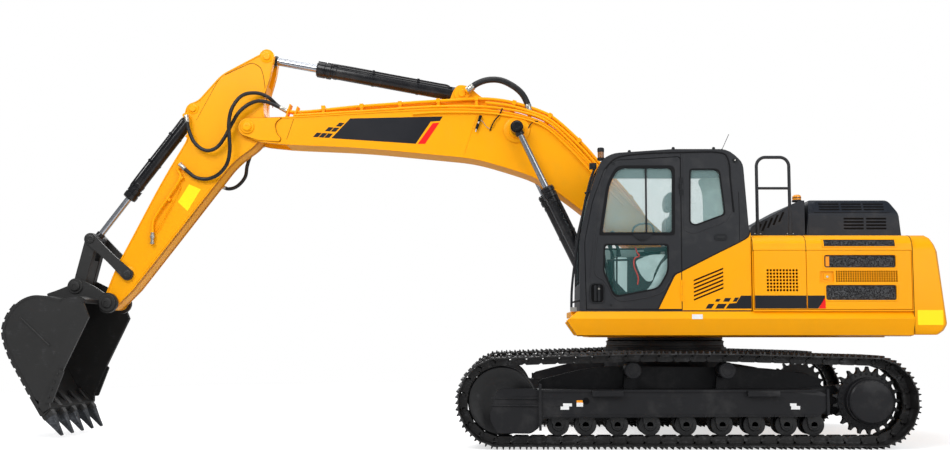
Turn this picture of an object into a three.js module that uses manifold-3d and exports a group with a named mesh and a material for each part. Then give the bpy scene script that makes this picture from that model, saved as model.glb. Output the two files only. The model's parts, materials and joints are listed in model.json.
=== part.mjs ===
// Crawler excavator with boom, arm, bucket and two-piece linkage, as an assembly of separate solids.
// Millimetres. X runs from the slewing axis to the tail, Y to the machine's right side, Z up.
import * as THREE from "three";
import { mergeVertices } from "three/addons/utils/BufferGeometryUtils.js";
import Module from "manifold-3d";

const wasm = await Module();
wasm.setup();

// Clearances
const touchGap = 0.3; // between faces that seat on each other
const swingGap = 6; // round lids and doors
const pinPlay = 2; // radial play of a pin that turns in its hole

// Undercarriage
const trackLength = 4630;
const trackWidth = 3190; // over the shoes
const shoeWidth = 600;
const shoeCount = 60;
const grouserHeight = 26;
const shoePlate = 12;
const linkHeight = 76;
const linkWidth = 200;
const trackWheelRadius = 465; // to the tips of the grousers
const carrierRadius = 85;
const carrierHeight = 771;
const carrierPlaces = [-530, 420];
const rollerRadius = 114;
const rollerPlaces = [-1285, -1010, -690, -363, 0, 363, 690, 1010, 1285];
const frameWidth = 410;
const frameBottom = 318;
const frameTop = 579;
const hubRadius = 225;
const ringRadius = 670;
const ringBottom = 990;
const deckBottom = 1100;

// Upper structure
const deckTop = 1368;
const deckFront = -1080;
const deckFrontRight = -950; // on the side away from the cab
const deckRear = 2350;
const bodyHalfWidth = 1370;
const bodyTop = 2160;
const shoulderWidth = 120;
const shoulderDrop = 170;
const bodyWall = 30;
const panelThickness = 28;
const tailRadius = 3000;
const bodyFront = 712; // front of the side bodies behind the cab
const doorSplit = 1262; // between the two left doors
const sideBodyInner = 570; // inner face of the side bodies
const cabFront = -1057;
const cabRear = 690;
const cabTop = 3046;
const cabLeft = -1340;
const cabRight = -465;
const cabWall = 42;
const doorRear = -10;
const glassThickness = 8;
const hoodHalfWidth = 600;
const hoodFront = 1480;
const hoodRear = 2528;
const hoodTop = 2617;
const hoodSheet = 18;

// Work equipment
const boomFootX = 50;
const boomFootZ = 1950;
const boomLength = 5050;
const boomAngle = 17.74;
const boomHalfWidth = 215;
const boomEarHalfWidth = 240;
const armLength = 2520;
const armAngle = -70.43; // from the boom
const armHalfWidth = 165;
const bucketAngle = -25.14; // from the arm
const bucketHalfWidth = 650;
const bucketSheet = 26;
const bucketSidePlate = 28;
const toothCount = 5;
const boomCylinderFoot = [-710, 1450];
const boomCylinderHead = [-2114, 907]; // on the boom
const boomCylinderY = 345;
const boomEye = 70; // half the width of a boom cylinder's eyes
const armEye = 88;
const bucketEye = 70;
const armCylinderFoot = [-2849, 1136]; // on the boom
const armCylinderHead = [780, 353]; // on the arm
const bucketCylinderFoot = [-210, 651]; // on the arm
const linkFoot = [-2143, 42]; // on the arm
const linkHead = [-2085, 626]; // on the arm
const bucketLinkPin = [105, 392]; // on the bucket

const finishes = {
  paint: { color: 0xfdb003, roughness: 0.42, metalness: 0.0 },
  graphite: { color: 0x38383a, roughness: 0.5, metalness: 0.0 },
  charcoal: { color: 0x2f2e2d, roughness: 0.6, metalness: 0.2 },
  track: { color: 0x3a3835, roughness: 0.65, metalness: 0.4 },
  chrome: { color: 0xd9dbdd, roughness: 0.15, metalness: 1.0 },
  rubber: { color: 0x1a1a1a, roughness: 0.7, metalness: 0.0 },
  glass: { color: 0x9fb8a8, roughness: 0.05, metalness: 0.0 },
  fabric: { color: 0x2c2d2f, roughness: 0.9, metalness: 0.0 },
};

// ---------- solids ----------

function toSolid(geometry) {
  const bare = geometry.clone();
  bare.deleteAttribute("normal");
  bare.deleteAttribute("uv");
  const merged = mergeVertices(bare, 1e-3);
  const source = merged.index.array;
  const triangles = [];
  for (let i = 0; i < source.length; i += 3) {
    const [a, b, c] = [source[i], source[i + 1], source[i + 2]];
    if (a !== b && b !== c && a !== c) triangles.push(a, b, c);
  }
  return new wasm.Manifold(new wasm.Mesh({
    numProp: 3,
    vertProperties: new Float32Array(merged.attributes.position.array),
    triVerts: new Uint32Array(triangles),
  }));
}

function toGeometry(solid) {
  const mesh = solid.getMesh();
  const geometry = new THREE.BufferGeometry();
  geometry.setAttribute("position", new THREE.BufferAttribute(mesh.vertProperties.slice(), 3));
  geometry.setIndex(new THREE.BufferAttribute(mesh.triVerts.slice(), 1));
  geometry.computeVertexNormals();
  return geometry;
}

function join(...pieces) {
  return toGeometry(pieces.map(toSolid).reduce((sum, piece) => sum.add(piece)));
}

function cut(body, ...tools) {
  return toGeometry(tools.map(toSolid).reduce((rest, tool) => rest.subtract(tool), toSolid(body)));
}

function common(first, second) {
  return toGeometry(toSolid(first).intersect(toSolid(second)));
}

// The same piece on the other side of the machine's centre plane.
function mirrored(geometry) {
  const copy = toGeometry(toSolid(geometry));
  copy.scale(1, -1, 1);
  const index = copy.index;
  for (let i = 0; i < index.count; i += 3) {
    const kept = index.getX(i);
    index.setX(i, index.getX(i + 1));
    index.setX(i + 1, kept);
  }
  return copy;
}

// A closed outline; a corner is [x, y] or [x, y, length of its round].
function outline(corners) {
  const shape = new THREE.Shape();
  const count = corners.length;
  corners.forEach(([x, y, round = 0], i) => {
    const here = new THREE.Vector2(x, y);
    const before = new THREE.Vector2(...corners[(i + count - 1) % count].slice(0, 2)).sub(here);
    const after = new THREE.Vector2(...corners[(i + 1) % count].slice(0, 2)).sub(here);
    const reach = Math.min(round, before.length() * 0.48, after.length() * 0.48);
    const entry = before.setLength(reach).add(here);
    if (i === 0) shape.moveTo(entry.x, entry.y);
    else shape.lineTo(entry.x, entry.y);
    if (reach > 0) {
      const exit = after.setLength(reach).add(here);
      shape.quadraticCurveTo(x, y, exit.x, exit.y);
    }
  });
  return shape;
}

function extruded(shape, depth, curveSegments) {
  return new THREE.ExtrudeGeometry(shape, { depth, bevelEnabled: false, curveSegments });
}

function asShape(corners) {
  return corners instanceof THREE.Shape ? corners : outline(corners);
}

// An outline in X and Z, thick from y0 to y1.
function sidePlate(corners, y0, y1, curveSegments = 3) {
  return extruded(asShape(corners), y1 - y0, curveSegments).rotateX(Math.PI / 2).translate(0, y1, 0);
}

// An outline in X and Y, thick from z0 to z1.
function planPlate(corners, z0, z1, curveSegments = 3) {
  return extruded(asShape(corners), z1 - z0, curveSegments).translate(0, 0, z0);
}

// An outline in Y and Z, thick from x0 to x1.
function crossPlate(corners, x0, x1, curveSegments = 3) {
  const turn = new THREE.Matrix4().makeBasis(
    new THREE.Vector3(0, 1, 0), new THREE.Vector3(0, 0, 1), new THREE.Vector3(1, 0, 0));
  return extruded(asShape(corners), x1 - x0, curveSegments).applyMatrix4(turn).translate(x0, 0, 0);
}

function block(x0, x1, y0, y1, z0, z1) {
  return new THREE.BoxGeometry(x1 - x0, y1 - y0, z1 - z0)
    .translate((x0 + x1) / 2, (y0 + y1) / 2, (z0 + z1) / 2);
}

function pin(x, z, radius, y0, y1, sides = 20) {
  return new THREE.CylinderGeometry(radius, radius, y1 - y0, sides).translate(x, (y0 + y1) / 2, z);
}

// A turned piece; the profile is [radius, place along the axis], axis along Y.
function turned(profile, sides = 24) {
  return new THREE.LatheGeometry(profile.map(([r, y]) => new THREE.Vector2(r, y)), sides);
}

// A round bar along a route of [x, y, z] points.
function bar(points, radius, steps, sides = 8) {
  const route = new THREE.CatmullRomCurve3(points.map((p) => new THREE.Vector3(...p)), false, "centripetal");
  const section = new THREE.Shape(
    Array.from({ length: sides }, (_, i) => {
      const angle = (i / sides) * 2 * Math.PI;
      return new THREE.Vector2(Math.cos(angle) * radius, Math.sin(angle) * radius);
    }));
  return new THREE.ExtrudeGeometry(section, { steps, extrudePath: route, bevelEnabled: false });
}

// A straight round bar between two points.
function rod(from, to, radius, sides = 8) {
  const start = new THREE.Vector3(...from);
  const along = new THREE.Vector3(...to).sub(start);
  const turn = new THREE.Quaternion().setFromUnitVectors(
    new THREE.Vector3(0, 1, 0), along.clone().normalize());
  return new THREE.CylinderGeometry(radius, radius, along.length(), sides)
    .applyQuaternion(turn).translate(...start.addScaledVector(along, 0.5).toArray());
}

// A closed outline moved inwards by a distance; the outline runs anticlockwise.
function inset(corners, distance) {
  const count = corners.length;
  return corners.map(([x, y, round = 0], i) => {
    const [px, py] = corners[(i + count - 1) % count];
    const [nx, ny] = corners[(i + 1) % count];
    const before = new THREE.Vector2(x - px, y - py).normalize();
    const after = new THREE.Vector2(nx - x, ny - y).normalize();
    const normal = new THREE.Vector2(-before.y - after.y, before.x + after.x).normalize();
    const reach = distance / Math.max(0.5, -normal.x * before.y + normal.y * before.x);
    return [x + normal.x * reach, y + normal.y * reach, round];
  });
}

function addPart(parent, name, geometry, finish) {
  const mesh = new THREE.Mesh(geometry, new THREE.MeshStandardMaterial(finishes[finish]));
  mesh.name = name;
  parent.add(mesh);
  return mesh;
}

const radians = (degrees) => (degrees * Math.PI) / 180;

// A point of a turned frame, seen from the frame's parent.
function placed(frame, [x, z]) {
  const turn = radians(frame.angle);
  return [
    frame.x + x * Math.cos(turn) + z * Math.sin(turn),
    frame.z - x * Math.sin(turn) + z * Math.cos(turn),
  ];
}

function frameGroup(parent, frame) {
  const group = new THREE.Group();
  group.position.set(frame.x, 0, frame.z);
  group.rotation.y = radians(frame.angle);
  parent.add(group);
  return group;
}

const machine = new THREE.Group();
const undercarriage = new THREE.Group();
const upper = new THREE.Group();
machine.add(undercarriage, upper);

// ---------- undercarriage ----------

const trackCentre = (trackWidth - shoeWidth) / 2;
const wheelX = trackLength / 2 - trackWheelRadius;
const plateRadius = trackWheelRadius - grouserHeight;
const linkRadius = plateRadius - shoePlate - linkHeight; // inner face of the chain
const arcStep = radians(10);
const trackWheels = [
  { x: -wheelX, z: trackWheelRadius, r: linkRadius },
  { x: wheelX, z: trackWheelRadius, r: linkRadius },
  { x: carrierPlaces[1], z: carrierHeight, r: carrierRadius + touchGap },
  { x: carrierPlaces[0], z: carrierHeight, r: carrierRadius + touchGap },
];

// The belt line round the four wheels, at a height above the chain's inner face.
function beltPath(height) {
  const count = trackWheels.length;
  const normals = trackWheels.map((wheel, i) => {
    const next = trackWheels[(i + 1) % count];
    const [dx, dz] = [next.x - wheel.x, next.z - wheel.z];
    return Math.atan2(dz, dx) - Math.PI / 2 + Math.asin((wheel.r - next.r) / Math.hypot(dx, dz));
  });
  const path = new THREE.Path();
  trackWheels.forEach((wheel, i) => {
    const start = normals[(i + count - 1) % count];
    path.absarc(wheel.x, wheel.z, wheel.r + height, start, normals[i], false);
  });
  path.closePath();
  return path;
}

// The same line as corners, with a corner for each step of the arcs.
function beltCorners(height) {
  const corners = [];
  const count = trackWheels.length;
  const normalOf = (wheel, next) => {
    const [dx, dz] = [next.x - wheel.x, next.z - wheel.z];
    return Math.atan2(dz, dx) - Math.PI / 2 + Math.asin((wheel.r - next.r) / Math.hypot(dx, dz));
  };
  trackWheels.forEach((wheel, i) => {
    const start = normalOf(trackWheels[(i + count - 1) % count], wheel);
    let end = normalOf(wheel, trackWheels[(i + 1) % count]);
    while (end < start) end += 2 * Math.PI;
    const steps = Math.max(1, Math.round((end - start) / arcStep));
    for (let k = 0; k <= steps; k++) {
      const angle = start + ((end - start) * k) / steps;
      corners.push(new THREE.Vector2(
        wheel.x + Math.cos(angle) * (wheel.r + height), wheel.z + Math.sin(angle) * (wheel.r + height)));
    }
  });
  return corners;
}

function trackBand(outer, inner, width) {
  const shape = new THREE.Shape(outer);
  shape.holes.push(new THREE.Path(inner));
  return sidePlate(shape, -trackCentre - width / 2, -trackCentre + width / 2);
}

// Shoe plates with one raised bar each, set at equal steps along the belt line.
function shoeCorners() {
  const path = beltPath(linkHeight + shoePlate);
  path.arcLengthDivisions = 2000;
  const corners = [];
  const steps = [[0.1, 0], [0.17, grouserHeight], [0.83, grouserHeight], [0.9, 0]];
  for (let shoe = 0; shoe < shoeCount; shoe++) {
    for (const [share, rise] of steps) {
      const place = (shoe + share) / shoeCount;
      const point = path.getPointAt(place);
      const along = path.getTangentAt(place);
      corners.push(new THREE.Vector2(point.x + along.y * rise, point.y - along.x * rise));
    }
  }
  return corners;
}

const leftTrack = join(
  trackBand(shoeCorners(), beltCorners(linkHeight), shoeWidth),
  trackBand(beltCorners(linkHeight + shoePlate / 2), beltCorners(0), linkWidth));
const wheelFit = Math.cos(arcStep / 2); // how far a faceted chain cuts into its circle

const idlerWidth = 150;
const idlerRim = 49.36; // depth of the rim outside the idler's web
const idlerRadius = linkRadius * wheelFit - touchGap;
const leftIdler = turned([
  [0, -110], [70, -110], [70, -idlerWidth / 2], [idlerRadius - idlerRim, -idlerWidth / 2], [idlerRadius, -50],
  [idlerRadius, 50], [idlerRadius - idlerRim, idlerWidth / 2], [70, idlerWidth / 2], [70, 110], [0, 110],
], 28).translate(-wheelX, -trackCentre, trackWheelRadius);

const toothCountSprocket = 21;
const sprocketTip = linkRadius * wheelFit - 3;
const sprocketRoot = sprocketTip - 42;
const driveInner = frameWidth / 2 - 50; // inboard face of the final drive, from the track's centre
const driveOuter = 225;

const toothSteps = [[-0.3, sprocketRoot], [-0.12, sprocketTip], [0.12, sprocketTip], [0.3, sprocketRoot]];
function sprocketCorners() {
  const corners = [];
  for (let tooth = 0; tooth < toothCountSprocket; tooth++) {
    for (const [share, radius] of toothSteps) {
      const angle = ((tooth + share) / toothCountSprocket) * 2 * Math.PI;
      corners.push([wheelX + Math.cos(angle) * radius, trackWheelRadius + Math.sin(angle) * radius]);
    }
  }
  return corners;
}

const leftSprocket = join(
  sidePlate(sprocketCorners(), -trackCentre - 32, -trackCentre + 32),
  turned([
    [0, -driveOuter], [hubRadius - 60, -driveOuter], [hubRadius, -driveOuter + 40], [hubRadius, 0],
    [hubRadius - 25, 20], [hubRadius - 25, driveInner], [0, driveInner],
  ], 20).translate(wheelX, -trackCentre, trackWheelRadius));

// Rollers hang under the frame on a carrying bar that lies in the frame's pocket.
const pocketTop = 350;
const rollerHeight = rollerRadius + grouserHeight + shoePlate + linkHeight + touchGap;
const rollerWidth = 300;
const rollerSpan = rollerPlaces[rollerPlaces.length - 1] + rollerRadius + 20;
const leftRollers = join(
  block(-rollerSpan, rollerSpan, -trackCentre - 100, -trackCentre + 100,
    rollerHeight + rollerRadius - 20, pocketTop - touchGap),
  ...rollerPlaces.map((x) => pin(x, rollerHeight, rollerRadius,
    -trackCentre - rollerWidth / 2, -trackCentre + rollerWidth / 2, 12)));

// Side frame: long box, idler yoke in front, drive plate behind.
const frameFront = -wheelX + 365;
const frameRear = wheelX - 420;
const yokeFront = -wheelX - 130;
const yokeGap = idlerWidth / 2 + 38;
const frameOuterY = -trackCentre - frameWidth / 2;
const frameInnerY = -trackCentre + frameWidth / 2;
const yokeCorners = [
  [yokeFront, trackWheelRadius - 165, 60], [yokeFront + 80, trackWheelRadius - 315, 40],
  [frameFront - 75, trackWheelRadius - 320, 30], [frameFront, trackWheelRadius - 265],
  [frameFront, trackWheelRadius + 105], [frameFront - 75, trackWheelRadius + 130, 30],
  [yokeFront + 80, trackWheelRadius + 125, 60],
];

// A carrier roller on its stand.
function carrier(x) {
  return join(
    pin(x, carrierHeight, carrierRadius, -trackCentre - 130, -trackCentre + 60, 16),
    pin(x, carrierHeight, 38, -trackCentre + 40, -trackCentre + 150, 12),
    sidePlate([[x - 70, frameTop - 10], [x + 70, frameTop - 10], [x + 50, carrierHeight + 40, 30],
      [x - 50, carrierHeight + 40, 30]], -trackCentre + 110, -trackCentre + 150));
}

const leftFrame = cut(
  join(
    sidePlate([
      [frameFront - 5, 200], [frameFront + 60, frameBottom - 20], [frameRear - 120, frameBottom],
      [frameRear, frameBottom + 90], [frameRear, frameTop - 60, 40], [frameRear - 120, frameTop, 40],
      [frameFront + 60, frameTop], [frameFront - 5, frameTop],
    ], frameOuterY, frameInnerY),
    sidePlate(yokeCorners, frameOuterY + 20, -trackCentre - yokeGap),
    sidePlate(yokeCorners, -trackCentre + yokeGap, frameInnerY - 20),
    sidePlate([
      [frameRear - 200, 330], [wheelX + 60, trackWheelRadius - 175, 80],
      [wheelX + 130, trackWheelRadius, 80], [wheelX + 60, trackWheelRadius + 175, 80],
      [frameRear - 200, frameTop],
    ], -trackCentre + driveInner + touchGap, frameInnerY),
    block(-950, -640, frameOuterY - 60, frameOuterY + 10, 520, 575),
    block(600, 920, frameOuterY - 60, frameOuterY + 10, 520, 575),
    ...carrierPlaces.map(carrier)),
  block(-rollerSpan - 8, rollerSpan + 8, -trackCentre - rollerWidth / 2 - 8, -trackCentre + rollerWidth / 2 + 8,
    0, pocketTop));

const sides = [["left", (geometry) => geometry], ["right", mirrored]];
for (const [side, onSide] of sides) {
  addPart(undercarriage, `track_${side}`, onSide(leftTrack), "track");
  addPart(undercarriage, `track_frame_${side}`, onSide(leftFrame), "graphite");
  addPart(undercarriage, `idler_${side}`, onSide(toGeometry(toSolid(leftIdler))), "track");
  addPart(undercarriage, `sprocket_${side}`, onSide(leftSprocket), "graphite");
  addPart(undercarriage, `bottom_rollers_${side}`, onSide(leftRollers), "track");
}

// Car body: a drum under the slewing ring and four legs to the side frames.
const legEnd = trackCentre - frameWidth / 2 - touchGap;
const legCorners = (sx, sy) => [
  [sx * 250, sy * 300], [sx * 640, sy * 300], [sx * 1150, sy * legEnd], [sx * 640, sy * legEnd],
];
const drumSides = 16;
const drum = Array.from({ length: drumSides }, (_, i) => {
  const angle = ((i + 0.5) / drumSides) * 2 * Math.PI;
  return [Math.cos(angle) * (ringRadius + 20), Math.sin(angle) * (ringRadius + 20)];
});
const turnedRight = (corners) => (THREE.ShapeUtils.area(corners.map(([x, y]) => new THREE.Vector2(x, y))) < 0
  ? [...corners].reverse() : corners);
const carBody = join(
  planPlate(drum, 470, ringBottom - touchGap),
  ...[[-1, -1], [-1, 1], [1, -1], [1, 1]].map(([sx, sy]) => planPlate(turnedRight(legCorners(sx, sy)), 380, 560)));
addPart(undercarriage, "x_frame", carBody, "graphite");

addPart(undercarriage, "slew_ring", turned([
  [ringRadius - 110, ringBottom], [ringRadius, ringBottom], [ringRadius, ringBottom + 60],
  [ringRadius - 30, ringBottom + 60], [ringRadius - 30, deckBottom - touchGap],
  [ringRadius - 110, deckBottom - touchGap], [ringRadius - 110, ringBottom],
], 24).rotateX(Math.PI / 2), "track");

// ---------- upper structure ----------

// Deck: floor plate, centre girder, side skirts, boom brackets and the boom cylinders' lugs.
const skirtInner = bodyHalfWidth - 120;
const skirtSection = [
  [-bodyHalfWidth + 30, deckTop], [-bodyHalfWidth - 20, 1295], [-bodyHalfWidth + 20, 1125],
  [-skirtInner, 1114], [-skirtInner, deckTop],
];
function skirt(front) {
  const side = [[front, deckTop], [front - 110, 1275], [front, 1114], [deckRear, 1114], [deckRear, deckTop]];
  return common(crossPlate(skirtSection, front - 200, deckRear), sidePlate(side, -bodyHalfWidth - 100, 0));
}

const bracketInner = boomEarHalfWidth + touchGap;
const bracketOuter = bracketInner + 40;
const lugInner = boomCylinderY - boomEye - touchGap;
const lugOuter = boomCylinderY + boomEye + touchGap;
const [lugX, lugZ] = boomCylinderFoot;
const bracketCorners = [
  [-560, deckTop - 10], [-430, 1600, 80], [boomFootX - 190, boomFootZ + 60, 90],
  [boomFootX - 60, boomFootZ + 190, 90], [boomFootX + 130, boomFootZ + 160, 90], [1250, deckTop - 10],
];
const lugCorners = [
  [lugX - 110, lugZ - 60], [lugX - 80, lugZ + 80, 60], [lugX + 60, lugZ + 90, 60], [lugX + 300, deckTop - 10],
  [lugX - 110, deckTop - 10],
];
const leftBracket = join(
  sidePlate(bracketCorners, -bracketOuter, -bracketInner),
  sidePlate(lugCorners, -lugInner, -bracketInner),
  sidePlate(lugCorners, -lugOuter - 30, -lugOuter),
  pin(boomFootX, boomFootZ, 85, -bracketOuter - 30, -bracketInner, 16));

addPart(upper, "upper_frame", join(
  planPlate([
    [deckFront - 60, -skirtInner - 10], [deckRear, -skirtInner - 10], [deckRear, skirtInner + 10],
    [deckFrontRight - 60, skirtInner + 10], [deckFrontRight - 60, cabRight + 30],
    [deckFront - 60, cabRight + 30],
  ], deckTop - 60, deckTop),
  block(-900, deckRear, -480, 480, deckBottom, deckTop - 20),
  skirt(deckFront), mirrored(skirt(deckFrontRight)), leftBracket, mirrored(leftBracket)), "paint");

// Counterweight: round tail about the slewing axis, its upper edge and its foot drawn in all round.
const tailRings = [ // height, inset of the sides, inset of the rear
  [1130, 34, 95], [1175, 6, 35], [1240, 0, 0], [1990, 0, 75], [2070, 38, 105], [2125, 90, 140], [bodyTop, 170, 195],
];
function tailRing([z, sideInset, rearInset]) {
  const half = bodyHalfWidth - sideInset;
  const radius = tailRadius - rearInset;
  const reach = Math.asin(half / radius);
  const corners = Array.from({ length: 15 }, (_, i) => {
    const angle = -reach + (2 * reach * i) / 14;
    return [radius * Math.cos(angle), radius * Math.sin(angle), z];
  });
  return [[deckRear + touchGap, -half, z], ...corners, [deckRear + touchGap, half, z]];
}
addPart(upper, "counterweight", toGeometry(wasm.Manifold.hull(tailRings.flatMap(tailRing))), "paint");

// Side bodies: shells with a round shoulder, closed by doors.
const bodySection = [
  [-bodyHalfWidth, deckTop + touchGap], [-sideBodyInner, deckTop + touchGap], [-sideBodyInner, bodyTop],
  [-bodyHalfWidth, bodyTop, shoulderDrop],
];
const doorBottom = deckTop + 22;
const doorTop = bodyTop - shoulderDrop - 2;
const doorFrame = 34; // width of the rim that a door closes on

function sideBody(x0, x1, openings) {
  const hollow = block(x0 + bodyWall, x1 - bodyWall, -bodyHalfWidth + 2 * bodyWall, -sideBodyInner - bodyWall,
    deckTop + bodyWall, bodyTop - 2 * bodyWall);
  const cuts = openings.flatMap(([from, to]) => [
    block(from - swingGap, to + swingGap, -bodyHalfWidth - 1, -bodyHalfWidth + panelThickness + touchGap,
      doorBottom - swingGap, doorTop + swingGap),
    block(from + doorFrame, to - doorFrame, -bodyHalfWidth, -bodyHalfWidth + 3 * bodyWall,
      doorBottom + doorFrame, doorTop - doorFrame),
  ]);
  return cut(crossPlate(bodySection, x0, x1, 4), hollow, ...cuts);
}

function sideDoor(from, to) {
  return block(from, to, -bodyHalfWidth, -bodyHalfWidth + panelThickness, doorBottom, doorTop);
}

const frontDoor = [bodyFront + 14, doorSplit - swingGap / 2];
const rearDoor = [doorSplit + swingGap / 2, deckRear - 14];
const pumpDoor = [doorSplit + swingGap / 2, deckRear - 14];
addPart(upper, "body_left", sideBody(bodyFront, deckRear - touchGap, [frontDoor, rearDoor]), "paint");
addPart(upper, "door_left_front", sideDoor(...frontDoor), "paint");
addPart(upper, "door_left_rear", sideDoor(...rearDoor), "paint");
addPart(upper, "body_right", mirrored(sideBody(doorSplit - 80, deckRear - touchGap, [pumpDoor])), "paint");
addPart(upper, "door_right", mirrored(sideDoor(...pumpDoor)), "paint");

// Pieces inside the bodies.
const coolerInset = 60;
addPart(upper, "cooler", block(doorSplit + 60, doorSplit + 260, -bodyHalfWidth + 130, -sideBodyInner - coolerInset,
  deckTop + bodyWall + touchGap, bodyTop - 160), "graphite");
addPart(upper, "engine", join(
  block(1380, 2250, -300, 300, deckTop + touchGap, 1950),
  block(1540, 2150, -190, 190, 1900, 2180),
  pin(1500, 1650, 180, -380, 0, 16)), "graphite");
addPart(upper, "control_valve", block(420, 900, -190, 190, deckTop + touchGap, 1560), "graphite");

// Tanks and the step box on the right.
const rightTank = (x0, x1, top) => mirrored(crossPlate([
  [-bodyHalfWidth, deckTop + touchGap], [-sideBodyInner + 40, deckTop + touchGap], [-sideBodyInner + 40, top],
  [-bodyHalfWidth, top, shoulderDrop]], x0, x1, 4));
addPart(upper, "hydraulic_tank", rightTank(560, doorSplit - 80 - touchGap, bodyTop), "paint");
addPart(upper, "fuel_tank", rightTank(-300, 560 - touchGap, bodyTop), "paint");
addPart(upper, "step_box", mirrored(join(
  crossPlate([[-bodyHalfWidth, deckTop + touchGap], [-sideBodyInner + 40, deckTop + touchGap],
    [-sideBodyInner + 40, 1780], [-bodyHalfWidth, 1780, 90]], -740, -300 - touchGap, 4),
  block(deckFrontRight + 10, -735, -bodyHalfWidth + 40, -sideBodyInner + 30, deckTop + touchGap, 1560))), "paint");

// Engine hood with its hinge bar on the counterweight, and the sloping cover in front of it.
const hoodHinge = [hoodRear + 14, bodyTop + 18];
const hoodSection = [
  [-hoodHalfWidth, bodyTop + touchGap], [hoodHalfWidth, bodyTop + touchGap], [hoodHalfWidth, 2460, 50],
  [hoodHalfWidth - 80, hoodTop, 60], [-hoodHalfWidth + 80, hoodTop, 60], [-hoodHalfWidth, 2460, 50],
];
const hoodSide = [
  [hoodFront, bodyTop + touchGap], [hoodRear, bodyTop + touchGap], [hoodRear - 30, 2455, 30],
  [hoodRear - 125, hoodTop, 40], [hoodFront + 48, hoodTop, 50],
];
const moved = (corners, dx, dy) => corners.map(([x, y, round = 0]) => [x + dx, y + dy, round]);
const hoodOuter = common(crossPlate(hoodSection, hoodFront - 10, hoodRear + 10),
  sidePlate(hoodSide, -hoodHalfWidth - 10, hoodHalfWidth + 10));
const hoodInner = common(
  crossPlate([
    [-hoodHalfWidth + hoodSheet, bodyTop], [hoodHalfWidth - hoodSheet, bodyTop],
    [hoodHalfWidth - hoodSheet, 2450, 50], [hoodHalfWidth - 90, hoodTop - hoodSheet, 60],
    [-hoodHalfWidth + 90, hoodTop - hoodSheet, 60], [-hoodHalfWidth + hoodSheet, 2450, 50]],
  hoodFront, hoodRear),
  sidePlate([
    [hoodFront + hoodSheet, bodyTop], [hoodRear - hoodSheet, bodyTop], [hoodRear - hoodSheet - 30, 2450, 30],
    [hoodRear - 135, hoodTop - hoodSheet, 40], [hoodFront + hoodSheet + 46, hoodTop - hoodSheet, 50]],
  -hoodHalfWidth, hoodHalfWidth));
addPart(upper, "engine_hood", cut(hoodOuter, hoodInner), "graphite");

const coverFront = 875;
addPart(upper, "sloping_cover", cut(
  sidePlate([
    [coverFront, bodyTop + touchGap], [coverFront, 2310, 30], [hoodFront - 60, 2600, 40],
    [hoodFront - swingGap - 4, 2600], [hoodFront - swingGap - 4, bodyTop + touchGap]], -hoodHalfWidth, hoodHalfWidth),
  sidePlate([
    [coverFront + 20, bodyTop], [coverFront + 20, 2295, 30], [hoodFront - 70, 2580, 40],
    [hoodFront - 100, bodyTop]], -hoodHalfWidth + 20, hoodHalfWidth - 20)), "graphite");
// Handrails
function handrail(x0, x1, y, foot, top, middle) {
  const tube = 17;
  return join(
    bar([[x0, y, foot + touchGap], [x0, y, foot + 200], [x0, y, top - 90], [x0 + 30, y, top - 30],
      [x0 + 90, y, top], [(x0 + x1) / 2, y, top], [x1 - 90, y, top], [x1 - 30, y, top - 30], [x1, y, top - 90],
      [x1, y, foot + 200], [x1, y, foot + touchGap]], tube, 18, 6),
    rod([x0, y, middle], [x1, y, middle], tube - 2, 6));
}
addPart(upper, "handrail_left", handrail(815, 1150, -bodyHalfWidth + 180, bodyTop, 2977, 2658), "graphite");
addPart(upper, "handrail_right", handrail(945, 1160, bodyHalfWidth - 180, bodyTop, 2860, 2520), "graphite");

// ---------- cab ----------

const cabFloor = deckTop + touchGap;
const cabCorners = [
  [cabFront, cabFloor], [cabRear, cabFloor], [cabRear, 2200], [cabRear - 50, 2905, 60], [cabRear - 200, cabTop, 90],
  [-87, cabTop], [-700, cabTop - 42, 60], [-826, 2935, 60], [-940, 2600, 60], [cabFront + 10, 2150, 60],
];
const cabInside = [
  [cabFront + cabWall, cabFloor + cabWall], [cabRear - cabWall, cabFloor + cabWall], [cabRear - cabWall, 2200],
  [cabRear - 90, 2880, 60], [cabRear - 230, cabTop - cabWall, 70], [-87, cabTop - cabWall],
  [-690, cabTop - 88, 40], [-786, 2915, 50], [-898, 2590, 60], [cabFront + 52, 2145, 60],
];
const doorOutline = [
  [-985, cabFloor + 22], [doorRear, cabFloor + 22], [doorRear, 2965, 40], [-700, 2925, 60], [-790, 2840, 50],
  [-915, 2500, 60], [-1000, 2080, 60],
];
const doorUpperWindow = [
  [-822, 2176, 20], [-100, 2176, 30], [-92, 2848, 60], [-650, 2848, 70], [-745, 2686, 100],
];
const doorLowerWindow = [
  [-805, 1776, 40], [-696, 1521, 60], [-251, 1606, 60], [-151, 1776, 50], [-148, 2052, 40], [-794, 2052, 40],
];
const quarterWindow = [[85, 2282, 30], [137, 2256, 30], [441, 2368, 40], [390, 2832, 60], [93, 2832, 40]];
const rightWindow = [[-820, 2080, 40], [560, 2080, 40], [540, 2860, 50], [-690, 2860, 50]];
const through = 60;
const cabShell = cut(
  sidePlate(cabCorners, cabLeft, cabRight),
  sidePlate(cabInside, cabLeft + cabWall, cabRight - cabWall),
  sidePlate(inset(doorOutline, -swingGap), cabLeft - 10, cabLeft + panelThickness + touchGap),
  sidePlate(inset(doorOutline, doorFrame), cabLeft - 10, cabLeft + through),
  sidePlate(quarterWindow, cabLeft - 10, cabLeft + through),
  block(cabFront - 300, -780, cabLeft + 90, cabRight - 60, 1650, 2900), // windscreen
  sidePlate(rightWindow, cabRight - through, cabRight + 10),
  block(cabRear - 150, cabRear + 10, cabLeft + 110, cabRight - 80, 2260, 2840), // rear window
  block(-560, 120, cabLeft + 180, cabRight - 160, cabTop - 120, cabTop + 10)); // roof hatch
addPart(upper, "cab_shell", cabShell, "graphite");
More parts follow.
